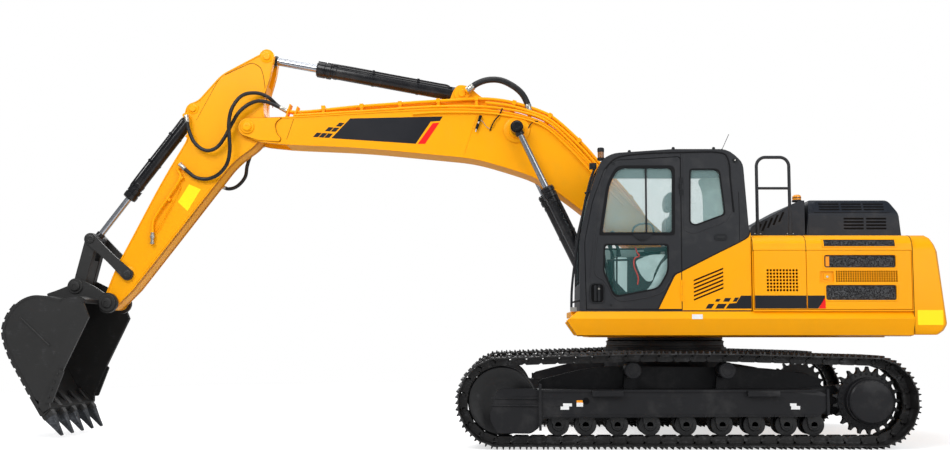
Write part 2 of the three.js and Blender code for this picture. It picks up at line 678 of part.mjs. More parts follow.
addPart(upper, "cab_door", cut(
  sidePlate(doorOutline, cabLeft, cabLeft + panelThickness),
  sidePlate(doorUpperWindow, cabLeft - 10, cabLeft + 100),
  sidePlate(doorLowerWindow, cabLeft - 10, cabLeft + 100)), "graphite");

const paneY = cabLeft + 10;
const paneGap = 1;
const pane = (corners, y) => sidePlate(inset(corners, paneGap), y, y + glassThickness);
addPart(upper, "door_glass_upper", pane(doorUpperWindow, paneY), "glass");
addPart(upper, "door_glass_lower", pane(doorLowerWindow, paneY), "glass");
addPart(upper, "quarter_glass", pane(quarterWindow, paneY), "glass");
addPart(upper, "right_glass", pane(rightWindow, cabRight - 20), "glass");
addPart(upper, "rear_glass", block(cabRear - 30, cabRear - 22, cabLeft + 110 + touchGap, cabRight - 80 - touchGap,
  2260 + touchGap, 2840 - touchGap), "glass");
const windscreenLine = [[-1030, 1650 + touchGap], [-1026, 2148], [-917, 2598], [-806, 2900 - touchGap]];
addPart(upper, "windscreen", sidePlate(
  [...windscreenLine, ...windscreenLine.map(([x, z]) => [x + glassThickness, z]).reverse()].reverse(),
  cabLeft + 90 + touchGap, cabRight - 60 - touchGap, 1), "glass");
addPart(upper, "roof_hatch", block(-560 + touchGap, 120 - touchGap, cabLeft + 180 + touchGap,
  cabRight - 160 - touchGap, cabTop - 30, cabTop - 4), "glass");

const seatX = -400;
const seatY = (cabLeft + cabRight) / 2;
const cabInsideFloor = cabFloor + cabWall;
addPart(upper, "seat_base", join(
  block(seatX - 260, seatX + 242, seatY - 230, seatY + 230, cabInsideFloor + touchGap, 1640),
  block(seatX + 200, seatX + 340, seatY - 150, seatY + 150, 1560, 1640),
  block(seatX + 270, seatX + 340, seatY - 150, seatY + 150, 1560, 1700 - touchGap),
  block(seatX - 300, seatX + 120, seatY - 380, seatY - 250, cabInsideFloor + touchGap, 1930),
  block(seatX - 300, seatX + 120, seatY + 250, seatY + 380, cabInsideFloor + touchGap, 1930),
  block(seatX - 200, seatX + 100, seatY - 300, seatY + 300, cabInsideFloor + touchGap, 1560)), "graphite");
addPart(upper, "seat_cushion", sidePlate([
  [seatX - 270, 1640 + touchGap, 40], [seatX + 200, 1640 + touchGap, 40], [seatX + 240, 1780, 40],
  [seatX - 290, 1790, 50]], seatY - 225, seatY + 225), "fabric");
addPart(upper, "seat_back", sidePlate([
  [seatX + 246, 1700, 30], [seatX + 340, 1700, 30], [seatX + 400, 2420, 40], [seatX + 420, 2640, 40],
  [seatX + 330, 2640, 40], [seatX + 290, 2420, 40]], seatY - 215, seatY + 215), "fabric");
addPart(upper, "pedals_and_levers", join(
  block(-985, -735, seatY - 200, seatY + 200, cabInsideFloor + touchGap, 1470),
  rod([-875, seatY - 90, 1460], [-805, seatY - 90, 1900], 14),
  rod([-875, seatY + 90, 1460], [-805, seatY + 90, 1900], 14)), "graphite");

// Hose ports: a stub in line with a hose's end, on a leg that reaches into the piece that carries it.
const hoseRadius = 21;
const boomHoseRadius = 36;
const portLength = 46;
const hoseRoutes = {
  arm_outer: [
    [-5452, -232, 3600], [-5425, -235, 3460], [-5345, -238, 3295], [-5220, -238, 3215], [-5105, -240, 3245],
    [-5015, -245, 3355], [-4940, -250, 3500], [-4850, -262, 3650], [-4740, -255, 3745], [-4640, -220, 3790],
    [-4540, -165, 3785], [-4440, -140, 3745], [-4350, -135, 3705],
  ],
  arm_inner: [
    [-4350, -60, 3705], [-4440, -80, 3760], [-4540, -175, 3845], [-4660, -232, 3880], [-4800, -300, 3840],
    [-4905, -330, 3700], [-4945, -325, 3530], [-4940, -315, 3365], [-4935, -300, 3200], [-4970, -270, 3060],
    [-5075, -225, 2945], [-5200, -205, 2895], [-5335, -200, 2910], [-5440, -200, 2985], [-5510, -200, 3050],
  ],
  arm_far: [
    [-4640, 245, 3370], [-4735, 262, 3335], [-4825, 275, 3250], [-4870, 275, 3120], [-4890, 262, 2980],
    [-4980, 235, 2865], [-5070, 215, 2835], [-5160, 205, 2865],
  ],
  boom_top: [
    [-2235, -165, 3935], [-2150, -165, 4000], [-2030, -165, 4045], [-1880, -165, 4045], [-1740, -160, 3985],
    [-1630, -155, 3895], [-1570, -150, 3790], [-1545, -150, 3700],
  ],
};
function unplaced(frame, [x, z]) {
  return placed({ x: 0, z: 0, angle: -frame.angle }, [x - frame.x, z - frame.z]);
}
function port(frames, end, before, legTo, radius = hoseRadius) {
  const [tip, back] = [end, before].map(([x, y, z]) => {
    const [u, w] = frames.reduce((place, frame) => unplaced(frame, place), [x, z]);
    return new THREE.Vector3(u, y, w);
  });
  const along = tip.clone().sub(back).normalize();
  const from = tip.clone().addScaledVector(along, touchGap);
  const to = tip.clone().addScaledVector(along, portLength);
  const foot = tip.clone().addScaledVector(along, portLength / 2);
  return join(
    rod(from.toArray(), to.toArray(), radius + 3),
    rod(foot.toArray(), legTo(foot), 20, 8));
}

// ---------- boom ----------

const boomFrame = { x: boomFootX, z: boomFootZ, angle: boomAngle };
const armFrame = { x: -boomLength, z: 0, angle: armAngle };
const bucketFrame = { x: -armLength, z: 0, angle: bucketAngle };
const boomGroup = frameGroup(upper, boomFrame);
const armGroup = frameGroup(boomGroup, armFrame);
const bucketGroup = frameGroup(armGroup, bucketFrame);

// A round end of an outline about a pin, as corners from one angle to another in degrees.
function nose(x, z, radius, from, to, steps = 6) {
  return Array.from({ length: steps + 1 }, (_, i) => {
    const angle = radians(from + ((to - from) * i) / steps);
    return [x + Math.cos(angle) * radius, z + Math.sin(angle) * radius];
  });
}

const boomTip = -boomLength;
const boomCorners = [
  ...nose(boomTip, 0, 108, 105, 265), [boomTip + 190, -118, 40], [boomTip + 490, -56, 200],
  [boomTip + 1345, 177, 300], [boomTip + 2590, 446, 200], [-2040, 455, 200], [-1740, 450, 200], [-1318, 320, 200],
  ...nose(0, 0, 175, 235, 425, 8), [-1191, 778, 200], [-1482, 944, 160], [-1851, 1101, 200],
  [-2339, 1078, 300], [-2979, 901, 300], [boomTip + 400, 256, 100],
];
const forkEnd = boomTip + 280;
const [boomPinX, boomPinZ] = boomCylinderHead;
const [armFootX, armFootZ] = armCylinderFoot;
const armBracket = [
  [armFootX - 330, armFootZ - 330], [armFootX + 560, armFootZ - 130], [armFootX + 330, armFootZ + 30, 60],
  [armFootX + 80, armFootZ + 95, 50], [armFootX - 60, armFootZ + 80, 50], [armFootX - 120, armFootZ - 20, 50],
];
const boomBody = cut(
  sidePlate(boomCorners, -boomHalfWidth, boomHalfWidth),
  sidePlate([[boomTip - 300, -300], [boomTip + 480, -300], [boomTip + 480, -80], [forkEnd, 150], [forkEnd, 400],
    [boomTip - 300, 400]], -armHalfWidth - touchGap, armHalfWidth + touchGap));
const boom = join(
  boomBody,
  pin(0, 0, 150, -boomEarHalfWidth, boomEarHalfWidth, 20),
  pin(boomPinX, boomPinZ, 95, -lugInner, lugInner, 16),
  pin(boomTip, 0, 80, -boomHalfWidth - 35, -armHalfWidth - touchGap, 16),
  pin(boomTip, 0, 80, armHalfWidth + touchGap, boomHalfWidth + 35, 16),
  sidePlate(armBracket, -armEye - touchGap - 30, -armEye - touchGap),
  sidePlate(armBracket, armEye + touchGap, armEye + touchGap + 30),
  block(boomTip + 350, boomTip + 470, -170, -30, 200, 420),
  port([boomFrame], hoseRoutes.arm_far[0], hoseRoutes.arm_far[1], ({ x, z }) => [x, boomHalfWidth - 5, z]),
  port([boomFrame], hoseRoutes.boom_top[0], hoseRoutes.boom_top[1], ({ x, z }) => [x, -armEye - 20, z],
    boomHoseRadius),
  port([boomFrame], hoseRoutes.boom_top.at(-1), hoseRoutes.boom_top.at(-2), ({ x, y, z }) => [x, y, z - 130],
    boomHoseRadius));
addPart(boomGroup, "boom", boom, "paint");

// ---------- arm ----------

const sideLinkInner = armHalfWidth + touchGap;
const sideLinkOuter = sideLinkInner + 34;
const earInner = sideLinkOuter + swingGap; // inner faces of the bucket's ears

const [bucketFootX, bucketFootZ] = bucketCylinderFoot;
const [armHeadX, armHeadZ] = armCylinderHead;
const armTip = -armLength;
const armCorners = [
  ...nose(armTip, 0, 80, 100, 265), [armTip + 280, -113], [-1357, -109, 200], [-415, -101, 100],
  [-83, -197, 120], [130, -150, 100], [330, 63, 120], [643, 184, 80], ...nose(armHeadX, armHeadZ, 85, -50, 110),
  [299, 636, 60], [bucketFootX + 110, 660, 40], [bucketFootX - 5, 730, 50], [bucketFootX - 110, 690, 50],
  [bucketFootX - 298, 480, 60],
  [-1067, 407, 300], [linkFoot[0] - 60, 189, 150], [armTip + 60, 104, 60],
];
const armPort = (end, before, wall) => port([boomFrame, armFrame], end, before, ({ x, z }) => [x, wall, z]);
const arm = cut(
  join(
    sidePlate(armCorners, -armHalfWidth, armHalfWidth),
    armPort(hoseRoutes.arm_outer[0], hoseRoutes.arm_outer[1], -armHalfWidth + 5),
    armPort(hoseRoutes.arm_inner.at(-1), hoseRoutes.arm_inner.at(-2), -armHalfWidth + 5),
    armPort(hoseRoutes.arm_far.at(-1), hoseRoutes.arm_far.at(-2), armHalfWidth - 5),
    pin(armTip, 0, 80, -earInner + touchGap, earInner - touchGap, 20)),
  block(520, 1000, -armEye - touchGap, armEye + touchGap, 0, 800),
  block(bucketFootX - 420, bucketFootX + 160, -bucketEye - touchGap, bucketEye + touchGap, 520, 900),
  pin(linkFoot[0], linkFoot[1], 45 + pinPlay, -300, 300, 20));
addPart(armGroup, "arm", arm, "paint");

// ---------- cylinders ----------

// A barrel whose eye is at the foot pin, and a rod whose eye is at the head pin.
function cylinder(parent, name, foot, head, centreY, size) {
  const [dx, dz] = [head[0] - foot[0], head[1] - foot[1]];
  const reach = Math.hypot(dx, dz);
  const angle = (Math.atan2(dz, -dx) * 180) / Math.PI;
  const group = frameGroup(parent, { x: foot[0], z: foot[1], angle });
  const along = (profile, sides) => turned(profile, sides).rotateZ(Math.PI / 2).translate(0, centreY, 0);
  const bore = size.rod + 1.5;
  const neck = Math.min(size.halfEye - 4, size.barrel);
  const boreEnd = size.eye + 60;
  const rodStart = boreEnd + 15 + size.retracts;
  const barrel = join(
    along([
      [0, 20], [neck, 20], [neck, size.eye + 10], [size.barrel, size.eye + 40],
      [size.barrel, size.length - size.gland], [size.barrel + 14, size.length - size.gland],
      [size.barrel + 14, size.length], [bore, size.length], [bore, boreEnd], [0, boreEnd]], 16),
    pin(0, 0, size.eye, centreY - size.halfEye, centreY + size.halfEye, 20));
  addPart(group, `${name}_barrel`, barrel, "graphite");
  const shaft = join(
    along([[0, rodStart], [size.rod, rodStart], [size.rod, reach - 20], [0, reach - 20]], 14),
    pin(-reach, 0, size.eye - 6, centreY - size.halfEye, centreY + size.halfEye, 20));
  addPart(group, `${name}_rod`, shaft, "chrome");
}

const boomSize = { barrel: 68, rod: 37, eye: 78, halfEye: boomEye, length: 1480, gland: 130, retracts: 610 };
const armSize = { barrel: 84, rod: 47, eye: 88, halfEye: armEye, length: 1720, gland: 170, retracts: 370 };
const bucketSize = { barrel: 66, rod: 36, eye: 74, halfEye: bucketEye, length: 1275, gland: 140, retracts: 360 };
const boomHead = placed(boomFrame, boomCylinderHead);
cylinder(upper, "boom_cylinder_left", boomCylinderFoot, boomHead, -boomCylinderY, boomSize);
cylinder(upper, "boom_cylinder_right", boomCylinderFoot, boomHead, boomCylinderY, boomSize);
cylinder(boomGroup, "arm_cylinder", armCylinderFoot, placed(armFrame, armCylinderHead), 0, armSize);
cylinder(armGroup, "bucket_cylinder", bucketCylinderFoot, linkHead, 0, bucketSize);

// ---------- bucket linkage ----------

const linkWidthHalf = 52;
const linkDirection = Math.atan2(linkHead[1] - linkFoot[1], linkHead[0] - linkFoot[0]) * (180 / Math.PI);
const linkPlate = [
  ...nose(linkFoot[0], linkFoot[1], linkWidthHalf + 16, linkDirection + 105, linkDirection + 255),
  ...nose(linkHead[0], linkHead[1], linkWidthHalf + 16, linkDirection - 75, linkDirection + 75),
];
addPart(armGroup, "bucket_side_links", join(
  sidePlate(linkPlate, -sideLinkOuter, -sideLinkInner),
  sidePlate(linkPlate, sideLinkInner, sideLinkOuter),
  pin(linkFoot[0], linkFoot[1], 45, -sideLinkOuter - 12, sideLinkOuter + 12, 20)), "charcoal");

const bucketPinOnArm = placed(bucketFrame, bucketLinkPin);
const pushDirection = Math.atan2(bucketPinOnArm[1] - linkHead[1], bucketPinOnArm[0] - linkHead[0]) * (180 / Math.PI);
const pushLink = [
  ...nose(linkHead[0], linkHead[1], 70, pushDirection + 105, pushDirection + 255),
  ...nose(bucketPinOnArm[0], bucketPinOnArm[1], 70, pushDirection - 75, pushDirection + 75),
];
addPart(armGroup, "bucket_push_link", cut(
  join(
    sidePlate(pushLink, -armHalfWidth, armHalfWidth),
    pin(bucketPinOnArm[0], bucketPinOnArm[1], 70, -earInner + touchGap, earInner - touchGap, 20)),
  pin(linkHead[0], linkHead[1], 190, -bucketEye - 4, bucketEye + 4, 20)), "charcoal");

// ---------- bucket ----------

// The back sheet from the top lip round the heel to the cutting edge, then across the mouth.
const bucketBack = [
  [-20, 104], [14, 168], [2, 250], [-42, 350], [-48, 540], [-70, 660], [-140, 770], [-250, 848], [-400, 892],
  [-530, 884], [-728, 776], [-990, 545], [-1215, 335], [-1290, 235],
];
const bucketMouth = [[-1213, 181], [-1130, 200], [-836, 148], [-171, 4]];
const bucketOutline = [...bucketBack, ...bucketMouth];
const bucketHollow = [
  ...inset(bucketBack, bucketSheet).slice(0, -1),
  [-1262, 250], [-1300, 0], [-900, -300], [40, -300],
];
const bucketEar = [
  ...nose(0, 0, 115, 150, 390, 8), [150, 190], ...nose(bucketLinkPin[0], bucketLinkPin[1], 92, -10, 100, 6),
  [15, 590, 60], [-45, 690], [-80, 655], [-60, 540], [-54, 352], [-4, 245], [18, 165], [-16, 112],
];
const toothTip = -1475;
function tooth(y) {
  return sidePlate([[toothTip, 2], [toothTip + 6, 24], [-1290, 150], [-1262, 262], [-1100, 400], [-1080, 370],
    [-1215, 190], [-1262, 90]], y - 48, y + 48);
}
const teeth = Array.from({ length: toothCount }, (_, i) => {
  const share = i / (toothCount - 1) - 0.5;
  return tooth(share * 2 * (bucketHalfWidth - 70));
});
const sideCutter = [[-1150, 170], [-1130, 262], [-760, 196], [-780, 120]];
const bucketShell = cut(
  sidePlate(bucketOutline, -bucketHalfWidth, bucketHalfWidth),
  sidePlate(bucketHollow, -bucketHalfWidth + bucketSidePlate, bucketHalfWidth - bucketSidePlate));
addPart(bucketGroup, "bucket", join(
  bucketShell,
  sidePlate(bucketEar, -earInner - 42, -earInner),
  sidePlate(bucketEar, earInner, earInner + 42),
  sidePlate(sideCutter, -bucketHalfWidth - 26, -bucketHalfWidth + 5),
  sidePlate(sideCutter, bucketHalfWidth - 5, bucketHalfWidth + 26),
  ...teeth), "charcoal");

// ---------- hoses between boom, arm and cylinders ----------

for (const [name, points] of Object.entries(hoseRoutes)) {
  const thick = name === "boom_top" ? boomHoseRadius : hoseRadius;
  addPart(upper, `hose_${name}`, bar(points, thick, Math.round(points.length * 1.6)), "rubber");
}

const shown = new THREE.Box3().setFromObject(machine, true);
machine.position.set(-(shown.min.x + shown.max.x) / 2, 0, 0);
export default machine;
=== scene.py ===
# Crawler excavator: fine pieces and finishes round the fixed model.
import json
import math

import bmesh
import bpy
from mathutils import Matrix, Vector

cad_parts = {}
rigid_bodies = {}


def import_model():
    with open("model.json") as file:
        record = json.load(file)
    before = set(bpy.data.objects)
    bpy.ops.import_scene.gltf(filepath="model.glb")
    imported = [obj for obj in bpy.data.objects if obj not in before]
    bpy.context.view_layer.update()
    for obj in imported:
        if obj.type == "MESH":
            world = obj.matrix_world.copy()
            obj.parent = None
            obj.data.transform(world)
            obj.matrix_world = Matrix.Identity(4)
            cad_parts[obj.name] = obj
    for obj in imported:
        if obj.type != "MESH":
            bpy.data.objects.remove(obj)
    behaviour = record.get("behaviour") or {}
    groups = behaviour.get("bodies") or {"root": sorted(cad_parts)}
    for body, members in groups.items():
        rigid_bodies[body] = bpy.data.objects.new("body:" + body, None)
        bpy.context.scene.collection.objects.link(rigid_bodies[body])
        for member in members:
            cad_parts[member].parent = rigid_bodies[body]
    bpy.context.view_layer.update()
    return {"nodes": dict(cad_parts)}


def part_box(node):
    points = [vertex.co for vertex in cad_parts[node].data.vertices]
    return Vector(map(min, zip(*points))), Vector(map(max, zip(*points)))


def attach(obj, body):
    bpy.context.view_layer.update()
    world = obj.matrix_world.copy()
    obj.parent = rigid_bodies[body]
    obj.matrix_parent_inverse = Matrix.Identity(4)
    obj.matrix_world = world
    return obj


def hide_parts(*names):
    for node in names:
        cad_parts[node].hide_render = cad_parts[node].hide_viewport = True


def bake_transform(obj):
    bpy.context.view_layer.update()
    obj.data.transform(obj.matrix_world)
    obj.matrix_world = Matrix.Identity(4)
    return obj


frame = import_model()
print("frame loaded")

# Lengths below are millimetres: X from the slewing axis to the tail, Y to the right side, Z up.
# On boom, arm and bucket they run from that piece's own foot pin, with X along the piece.
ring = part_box("slew_ring")
slewX = (ring[0].x + ring[1].x) / 2
onMachine = Matrix.Translation((slewX, 0, 0)) @ Matrix.Scale(0.001, 4)


def hinged(parent, x, z, angle):
    return parent @ Matrix.Translation((x, 0, z)) @ Matrix.Rotation(math.radians(angle), 4, "Y")


boomLength = 5050
armLength = 2520
onBoom = hinged(onMachine, 50, 1950, 17.74)
onArm = hinged(onBoom, -boomLength, 0, -70.43)
onBucket = hinged(onArm, -armLength, 0, -25.14)


# Camera, background and light.
camera = {"place": (-1820, -12500, 1160), "pitch": 4.95, "lens": 41.3, "shift": -0.0316}
lensPiece = bpy.data.cameras.new("camera")
lensPiece.lens = camera["lens"]
lensPiece.shift_x = camera["shift"]
lensPiece.clip_end = 2000
cameraPiece = bpy.data.objects.new("camera", lensPiece)
cameraPiece.location = onMachine @ Vector(camera["place"])
cameraPiece.rotation_euler = (math.radians(90 + camera["pitch"]), 0, 0)
bpy.context.scene.collection.objects.link(cameraPiece)
bpy.context.scene.camera = cameraPiece
bpy.context.scene.view_settings.view_transform = "Standard"


# One socket of a node tree, with the sums that the finishes and the repeating pieces need.
class Wire:
    def __init__(self, tree, socket=None):
        self.tree = tree
        self.socket = socket

    def node(self, kind, settings=None, sockets=None, out=0):
        made = self.tree.nodes.new(kind)
        for name, value in (settings or {}).items():
            if name == "stops":
                for stop, (place, colour) in zip(made.color_ramp.elements, value):
                    stop.position = place
                    stop.color = colour
            else:
                setattr(made, name, value)
        for name, value in (sockets or {}).items():
            if isinstance(value, Wire):
                self.tree.links.new(value.socket, made.inputs[name])
            else:
                made.inputs[name].default_value = value
        return Wire(self.tree, made.outputs[out] if made.outputs else None)

    def other(self, name):
        return Wire(self.tree, self.socket.node.outputs[name])

    def maths(self, operation, *values):
        return self.node("ShaderNodeMath", {"operation": operation}, dict(enumerate(values)))

    def __add__(self, value):
        return self.maths("ADD", self, value)

    def __sub__(self, value):
        return self.maths("SUBTRACT", self, value)

    def __rsub__(self, value):
        return self.maths("SUBTRACT", value, self)

    def __mul__(self, value):
        return self.maths("MULTIPLY", self, value)

    def __truediv__(self, value):
        return self.maths("DIVIDE", self, value)


# Finishes.
finishes = {}


def shader(name, **fixed):
    paint = bpy.data.materials.new(name)
    paint.use_nodes = True
    tree = paint.node_tree
    surface = tree.nodes["Principled BSDF"]
    for socket, value in fixed.items():
        surface.inputs[socket.replace("_", " ")].default_value = value
    finishes[name] = paint
    wire = Wire(tree)
    place = wire.node("ShaderNodeTexCoord").other("Object")
    return wire, surface, place


def feed(wire, surface, socket, value):
    wire.tree.links.new(value.socket, surface.inputs[socket])


def stretched(wire, place, scale):
    return wire.node("ShaderNodeMapping", {}, {"Vector": place, "Scale": scale})


def cloud(wire, place, scale, detail=3.0, roughness=0.5):
    return wire.node(
        "ShaderNodeTexNoise", {}, {"Vector": place, "Scale": scale, "Detail": detail, "Roughness": roughness})


def spread(wire, value, low, high, start=0.0, end=1.0):
    return wire.node("ShaderNodeMapRange", {}, {
        "Value": value, "From Min": low, "From Max": high, "To Min": start, "To Max": end})


def mixed(wire, share, first, second):
    return wire.node("ShaderNodeMix", {"data_type": "RGBA"}, {0: share, 6: first, 7: second}, out=2)


def coloured(wire, surface, share, first, second):
    feed(wire, surface, "Base Color", mixed(wire, share, first, second))


def bumped(wire, surface, height, strength, distance=0.001):
    normal = wire.node("ShaderNodeBump", {}, {"Height": height, "Strength": strength, "Distance": distance})
    feed(wire, surface, "Normal", normal)


# Sprayed enamel: slow changes of tone, a fine orange peel, and dust that dulls it in patches.
def enamel(name, colour, deep, roughness, dust, coat=0.0):
    wire, surface, place = shader(name, Coat_Roughness=0.12, Coat_Weight=coat, Specular_IOR_Level=0.12)
    tone = spread(wire, cloud(wire, place, 0.9), 0.35, 0.65)
    patches = spread(wire, cloud(wire, place, 5.0, 6.0, 0.62), 0.5, 0.72) * dust["amount"]
    colour = mixed(wire, patches, mixed(wire, tone * 0.5, colour, deep), dust["colour"])
    feed(wire, surface, "Base Color", colour)
    feed(wire, surface, "Roughness", patches * 0.25 + spread(wire, cloud(wire, place, 14.0), 0.3, 0.7,
                                                            roughness - 0.04, roughness + 0.05))
    bumped(wire, surface, cloud(wire, place, 260.0, 2.0), 0.05)


# Structural steel with thick paint: a coarser skin, scratches and bare spots that shine.
def workedSteel(name, colour, bare, wear, roughness, metallic=0.0):
    wire, surface, place = shader(name)
    scratches = cloud(wire, stretched(wire, place, (3.0, 60.0, 60.0)), 2.4, 8.0, 0.7)
    scuffs = cloud(wire, place, 9.0, 8.0, 0.68)
    worn = spread(wire, scratches * 0.4 + scuffs * 0.6, wear["from"], wear["to"])
    tone = spread(wire, cloud(wire, place, 2.2, 5.0), 0.35, 0.7)
    colour = mixed(wire, tone * 0.6, colour, [0.6 * c for c in colour[:3]] + [1.0])
    coloured(wire, surface, worn, colour, bare)
    feed(wire, surface, "Metallic", worn * (0.9 - metallic) + metallic)
    feed(wire, surface, "Roughness", roughness - worn * 0.16 + (scuffs - 0.5) * 0.16)
    bumped(wire, surface, cloud(wire, place, 120.0, 4.0) + scuffs * 0.8, wear["bump"], 0.002)


cleanDust = {"amount": 0.10, "colour": (0.55, 0.32, 0.03, 1)}
darkDust = {"amount": 0.14, "colour": (0.13, 0.125, 0.12, 1)}
enamel("yellowPaint", (0.985, 0.405, 0.0015, 1), (0.93, 0.345, 0.0015, 1), 0.36, cleanDust, 0.04)
# Darker amber for seam lines and plate rims: painted shade along seams and edges.
enamel("seamPaintedShade", (0.36, 0.12, 0.002, 1), (0.26, 0.085, 0.002, 1), 0.5, cleanDust)
enamel("graphitePaint", (0.031, 0.032, 0.035, 1), (0.024, 0.025, 0.028, 1), 0.42, darkDust, 0.04)
enamel("hoodPaint", (0.018, 0.022, 0.030, 1), (0.013, 0.016, 0.022, 1), 0.34, darkDust, 0.08)
enamel("barrelPaint", (0.010, 0.010, 0.012, 1), (0.008, 0.008, 0.009, 1), 0.24, darkDust, 0.5)
enamel("framePaint", (0.018, 0.018, 0.020, 1), (0.013, 0.013, 0.014, 1), 0.40, darkDust, 0.1)
workedSteel("bucketSteel", (0.017, 0.0165, 0.016, 1), (0.11, 0.11, 0.115, 1),
            {"from": 0.56, "to": 0.80, "bump": 0.20}, 0.47)
workedSteel("toothSteel", (0.024, 0.027, 0.032, 1), (0.20, 0.21, 0.23, 1),
            {"from": 0.50, "to": 0.72, "bump": 0.30}, 0.42, 0.25)
workedSteel("trackSteel", (0.018, 0.017, 0.017, 1), (0.17, 0.17, 0.175, 1),
            {"from": 0.52, "to": 0.74, "bump": 0.35}, 0.46, 0.2)
workedSteel("wheelSteel", (0.014, 0.014, 0.015, 1), (0.12, 0.12, 0.125, 1),
            {"from": 0.57, "to": 0.80, "bump": 0.22}, 0.44, 0.1)


def chromeRod():
    wire, surface, place = shader("chromeRod", Metallic=1.0)
    lines = cloud(wire, stretched(wire, place, (4.0, 90.0, 4.0)), 3.0, 4.0)
    coloured(wire, surface, lines * 0.3, (0.50, 0.52, 0.56, 1), (0.38, 0.39, 0.42, 1))
    feed(wire, surface, "Roughness", spread(wire, lines, 0.3, 0.7, 0.16, 0.24))


def zincFitting():
    wire, surface, place = shader("zincFitting", Metallic=0.9)
    grain = cloud(wire, place, 60.0, 4.0)
    coloured(wire, surface, grain, (0.60, 0.59, 0.55, 1), (0.42, 0.40, 0.35, 1))
    feed(wire, surface, "Roughness", spread(wire, grain, 0.3, 0.7, 0.25, 0.42))


# Hose cover: fine wrapped cloth marks in the rubber.
def hoseRubber():
    wire, surface, place = shader("hoseRubber", Specular_IOR_Level=0.4)
    marks = cloud(wire, place, 220.0, 3.0)
    smears = spread(wire, cloud(wire, place, 11.0, 4.0), 0.45, 0.75)
    coloured(wire, surface, smears * 0.5, (0.010, 0.010, 0.011, 1), (0.035, 0.034, 0.033, 1))
    feed(wire, surface, "Roughness", smears * 0.2 + 0.38)
    bumped(wire, surface, marks, 0.25)


# Green safety glass with faint smears; higher up the glass is paler and less clear, a painted reflection of
# the bright sky.
def cabGlass():
    wire, surface, place = shader("cabGlass", Roughness=0.02, IOR=1.45, Specular_IOR_Level=0.5)
    smears = spread(wire, cloud(wire, stretched(wire, place, (2.0, 2.0, 0.6)), 2.2, 4.0), 0.4, 0.7)
    upper = spread(wire, wire.node("ShaderNodeSeparateXYZ", {}, {"Vector": place}).other("Z"), 2.0, 2.3)
    coloured(wire, surface, upper, (0.06, 0.20, 0.19, 1), (0.42, 0.62, 0.61, 1))
    feed(wire, surface, "Alpha", smears * 0.04 + upper * 0.09 + 0.10)


# Woven seat cloth: two crossed sets of threads.
def seatCloth():
    wire, surface, place = shader("seatCloth", Sheen_Weight=0.4, Sheen_Roughness=0.5)
    threads = {"wave_type": "BANDS", "bands_direction": "DIAGONAL"}
    warp = wire.node("ShaderNodeTexWave", threads, {"Vector": place, "Scale": 160.0, "Distortion": 0.6})
    weft = wire.node("ShaderNodeTexWave", threads, {
        "Vector": stretched(wire, place, (-1.0, 1.0, 1.0)), "Scale": 160.0, "Distortion": 0.6})
    weave = warp.other("Fac") * weft.other("Fac")
    fade = cloud(wire, place, 6.0, 3.0)
    coloured(wire, surface, weave * 0.7 + fade * 0.2, (0.045, 0.055, 0.056, 1), (0.15, 0.18, 0.18, 1))
    feed(wire, surface, "Roughness", 0.95 - weave * 0.15)
    bumped(wire, surface, weave, 0.5)


def moulded(name, colour, roughness):
    wire, surface, place = shader(name, Specular_IOR_Level=0.2)
    grain = cloud(wire, place, 420.0, 2.0)
    wear = spread(wire, cloud(wire, place, 8.0, 4.0), 0.45, 0.7)
    coloured(wire, surface, wear * 0.5, colour, [min(1.0, 1.5 * c) for c in colour[:3]] + [1])
    feed(wire, surface, "Roughness", wear * 0.1 + roughness)
    bumped(wire, surface, grain, 0.12)


# Woven wire behind the grilles: a fine net, its gaps painted near-black as painted shade seen through them.
def wireNet():
    wire, surface, place = shader("wireNet", Metallic=0.5)
    cells = wire.node("ShaderNodeTexVoronoi", {"feature": "DISTANCE_TO_EDGE"}, {
        "Vector": stretched(wire, place, (1.0, 0.3, 1.0)), "Scale": 62.0, "Randomness": 0.55})
    strand = spread(wire, cells.other("Distance"), 0.02, 0.12, 1.0, 0.0)
    coloured(wire, surface, strand, (0.004, 0.004, 0.005, 1), (0.075, 0.077, 0.082, 1))
    feed(wire, surface, "Roughness", 0.8 - strand * 0.35)
    bumped(wire, surface, strand, 0.6, 0.002)


# Film and label colours, a little faded and dusted.
def film(name, colour, faded, roughness=0.38):
    wire, surface, place = shader(name, Specular_IOR_Level=0.2)
    fade = spread(wire, cloud(wire, place, 4.0, 5.0), 0.35, 0.75)
    coloured(wire, surface, fade * 0.5, colour, faded)
    feed(wire, surface, "Roughness", fade * 0.12 + roughness)
    bumped(wire, surface, cloud(wire, place, 300.0, 2.0), 0.04)


def amberLens(name, colour, glow):
    wire, surface, place = shader(name, Roughness=0.12, Coat_Weight=0.6, Emission_Strength=glow)
    ribs = wire.node("ShaderNodeTexWave", {"bands_direction": "Z"}, {"Vector": place, "Scale": 40.0})
    tint = mixed(wire, ribs.other("Fac"), colour, [0.75 * c for c in colour[:3]] + [1])
    feed(wire, surface, "Base Color", tint)
    feed(wire, surface, "Emission Color", tint)
    bumped(wire, surface, ribs.other("Fac"), 0.25, 0.002)


chromeRod()
zincFitting()
hoseRubber()
cabGlass()
seatCloth()
wireNet()
moulded("cabPlastic", (0.014, 0.015, 0.017, 1), 0.5)
moulded("trimPlastic", (0.022, 0.023, 0.025, 1), 0.55)
moulded("palePlastic", (0.48, 0.62, 0.60, 1), 0.6)
# Near-black for holes, slots and recesses: painted shade.
moulded("paintedHoleShade", (0.0025, 0.0025, 0.003, 1), 0.85)
moulded("sealRubber", (0.006, 0.006, 0.007, 1), 0.65)
film("blackFilm", (0.010, 0.011, 0.015, 1), (0.018, 0.018, 0.022, 1))
film("redFilm", (0.90, 0.008, 0.006, 1), (0.75, 0.012, 0.008, 1))
film("redWebbing", (0.70, 0.03, 0.02, 1), (0.55, 0.03, 0.02, 1), 0.8)
film("yellowLabel", (0.99, 0.80, 0.005, 1), (0.93, 0.72, 0.01, 1))
film("whiteLabel", (0.86, 0.86, 0.85, 1), (0.75, 0.75, 0.73, 1))
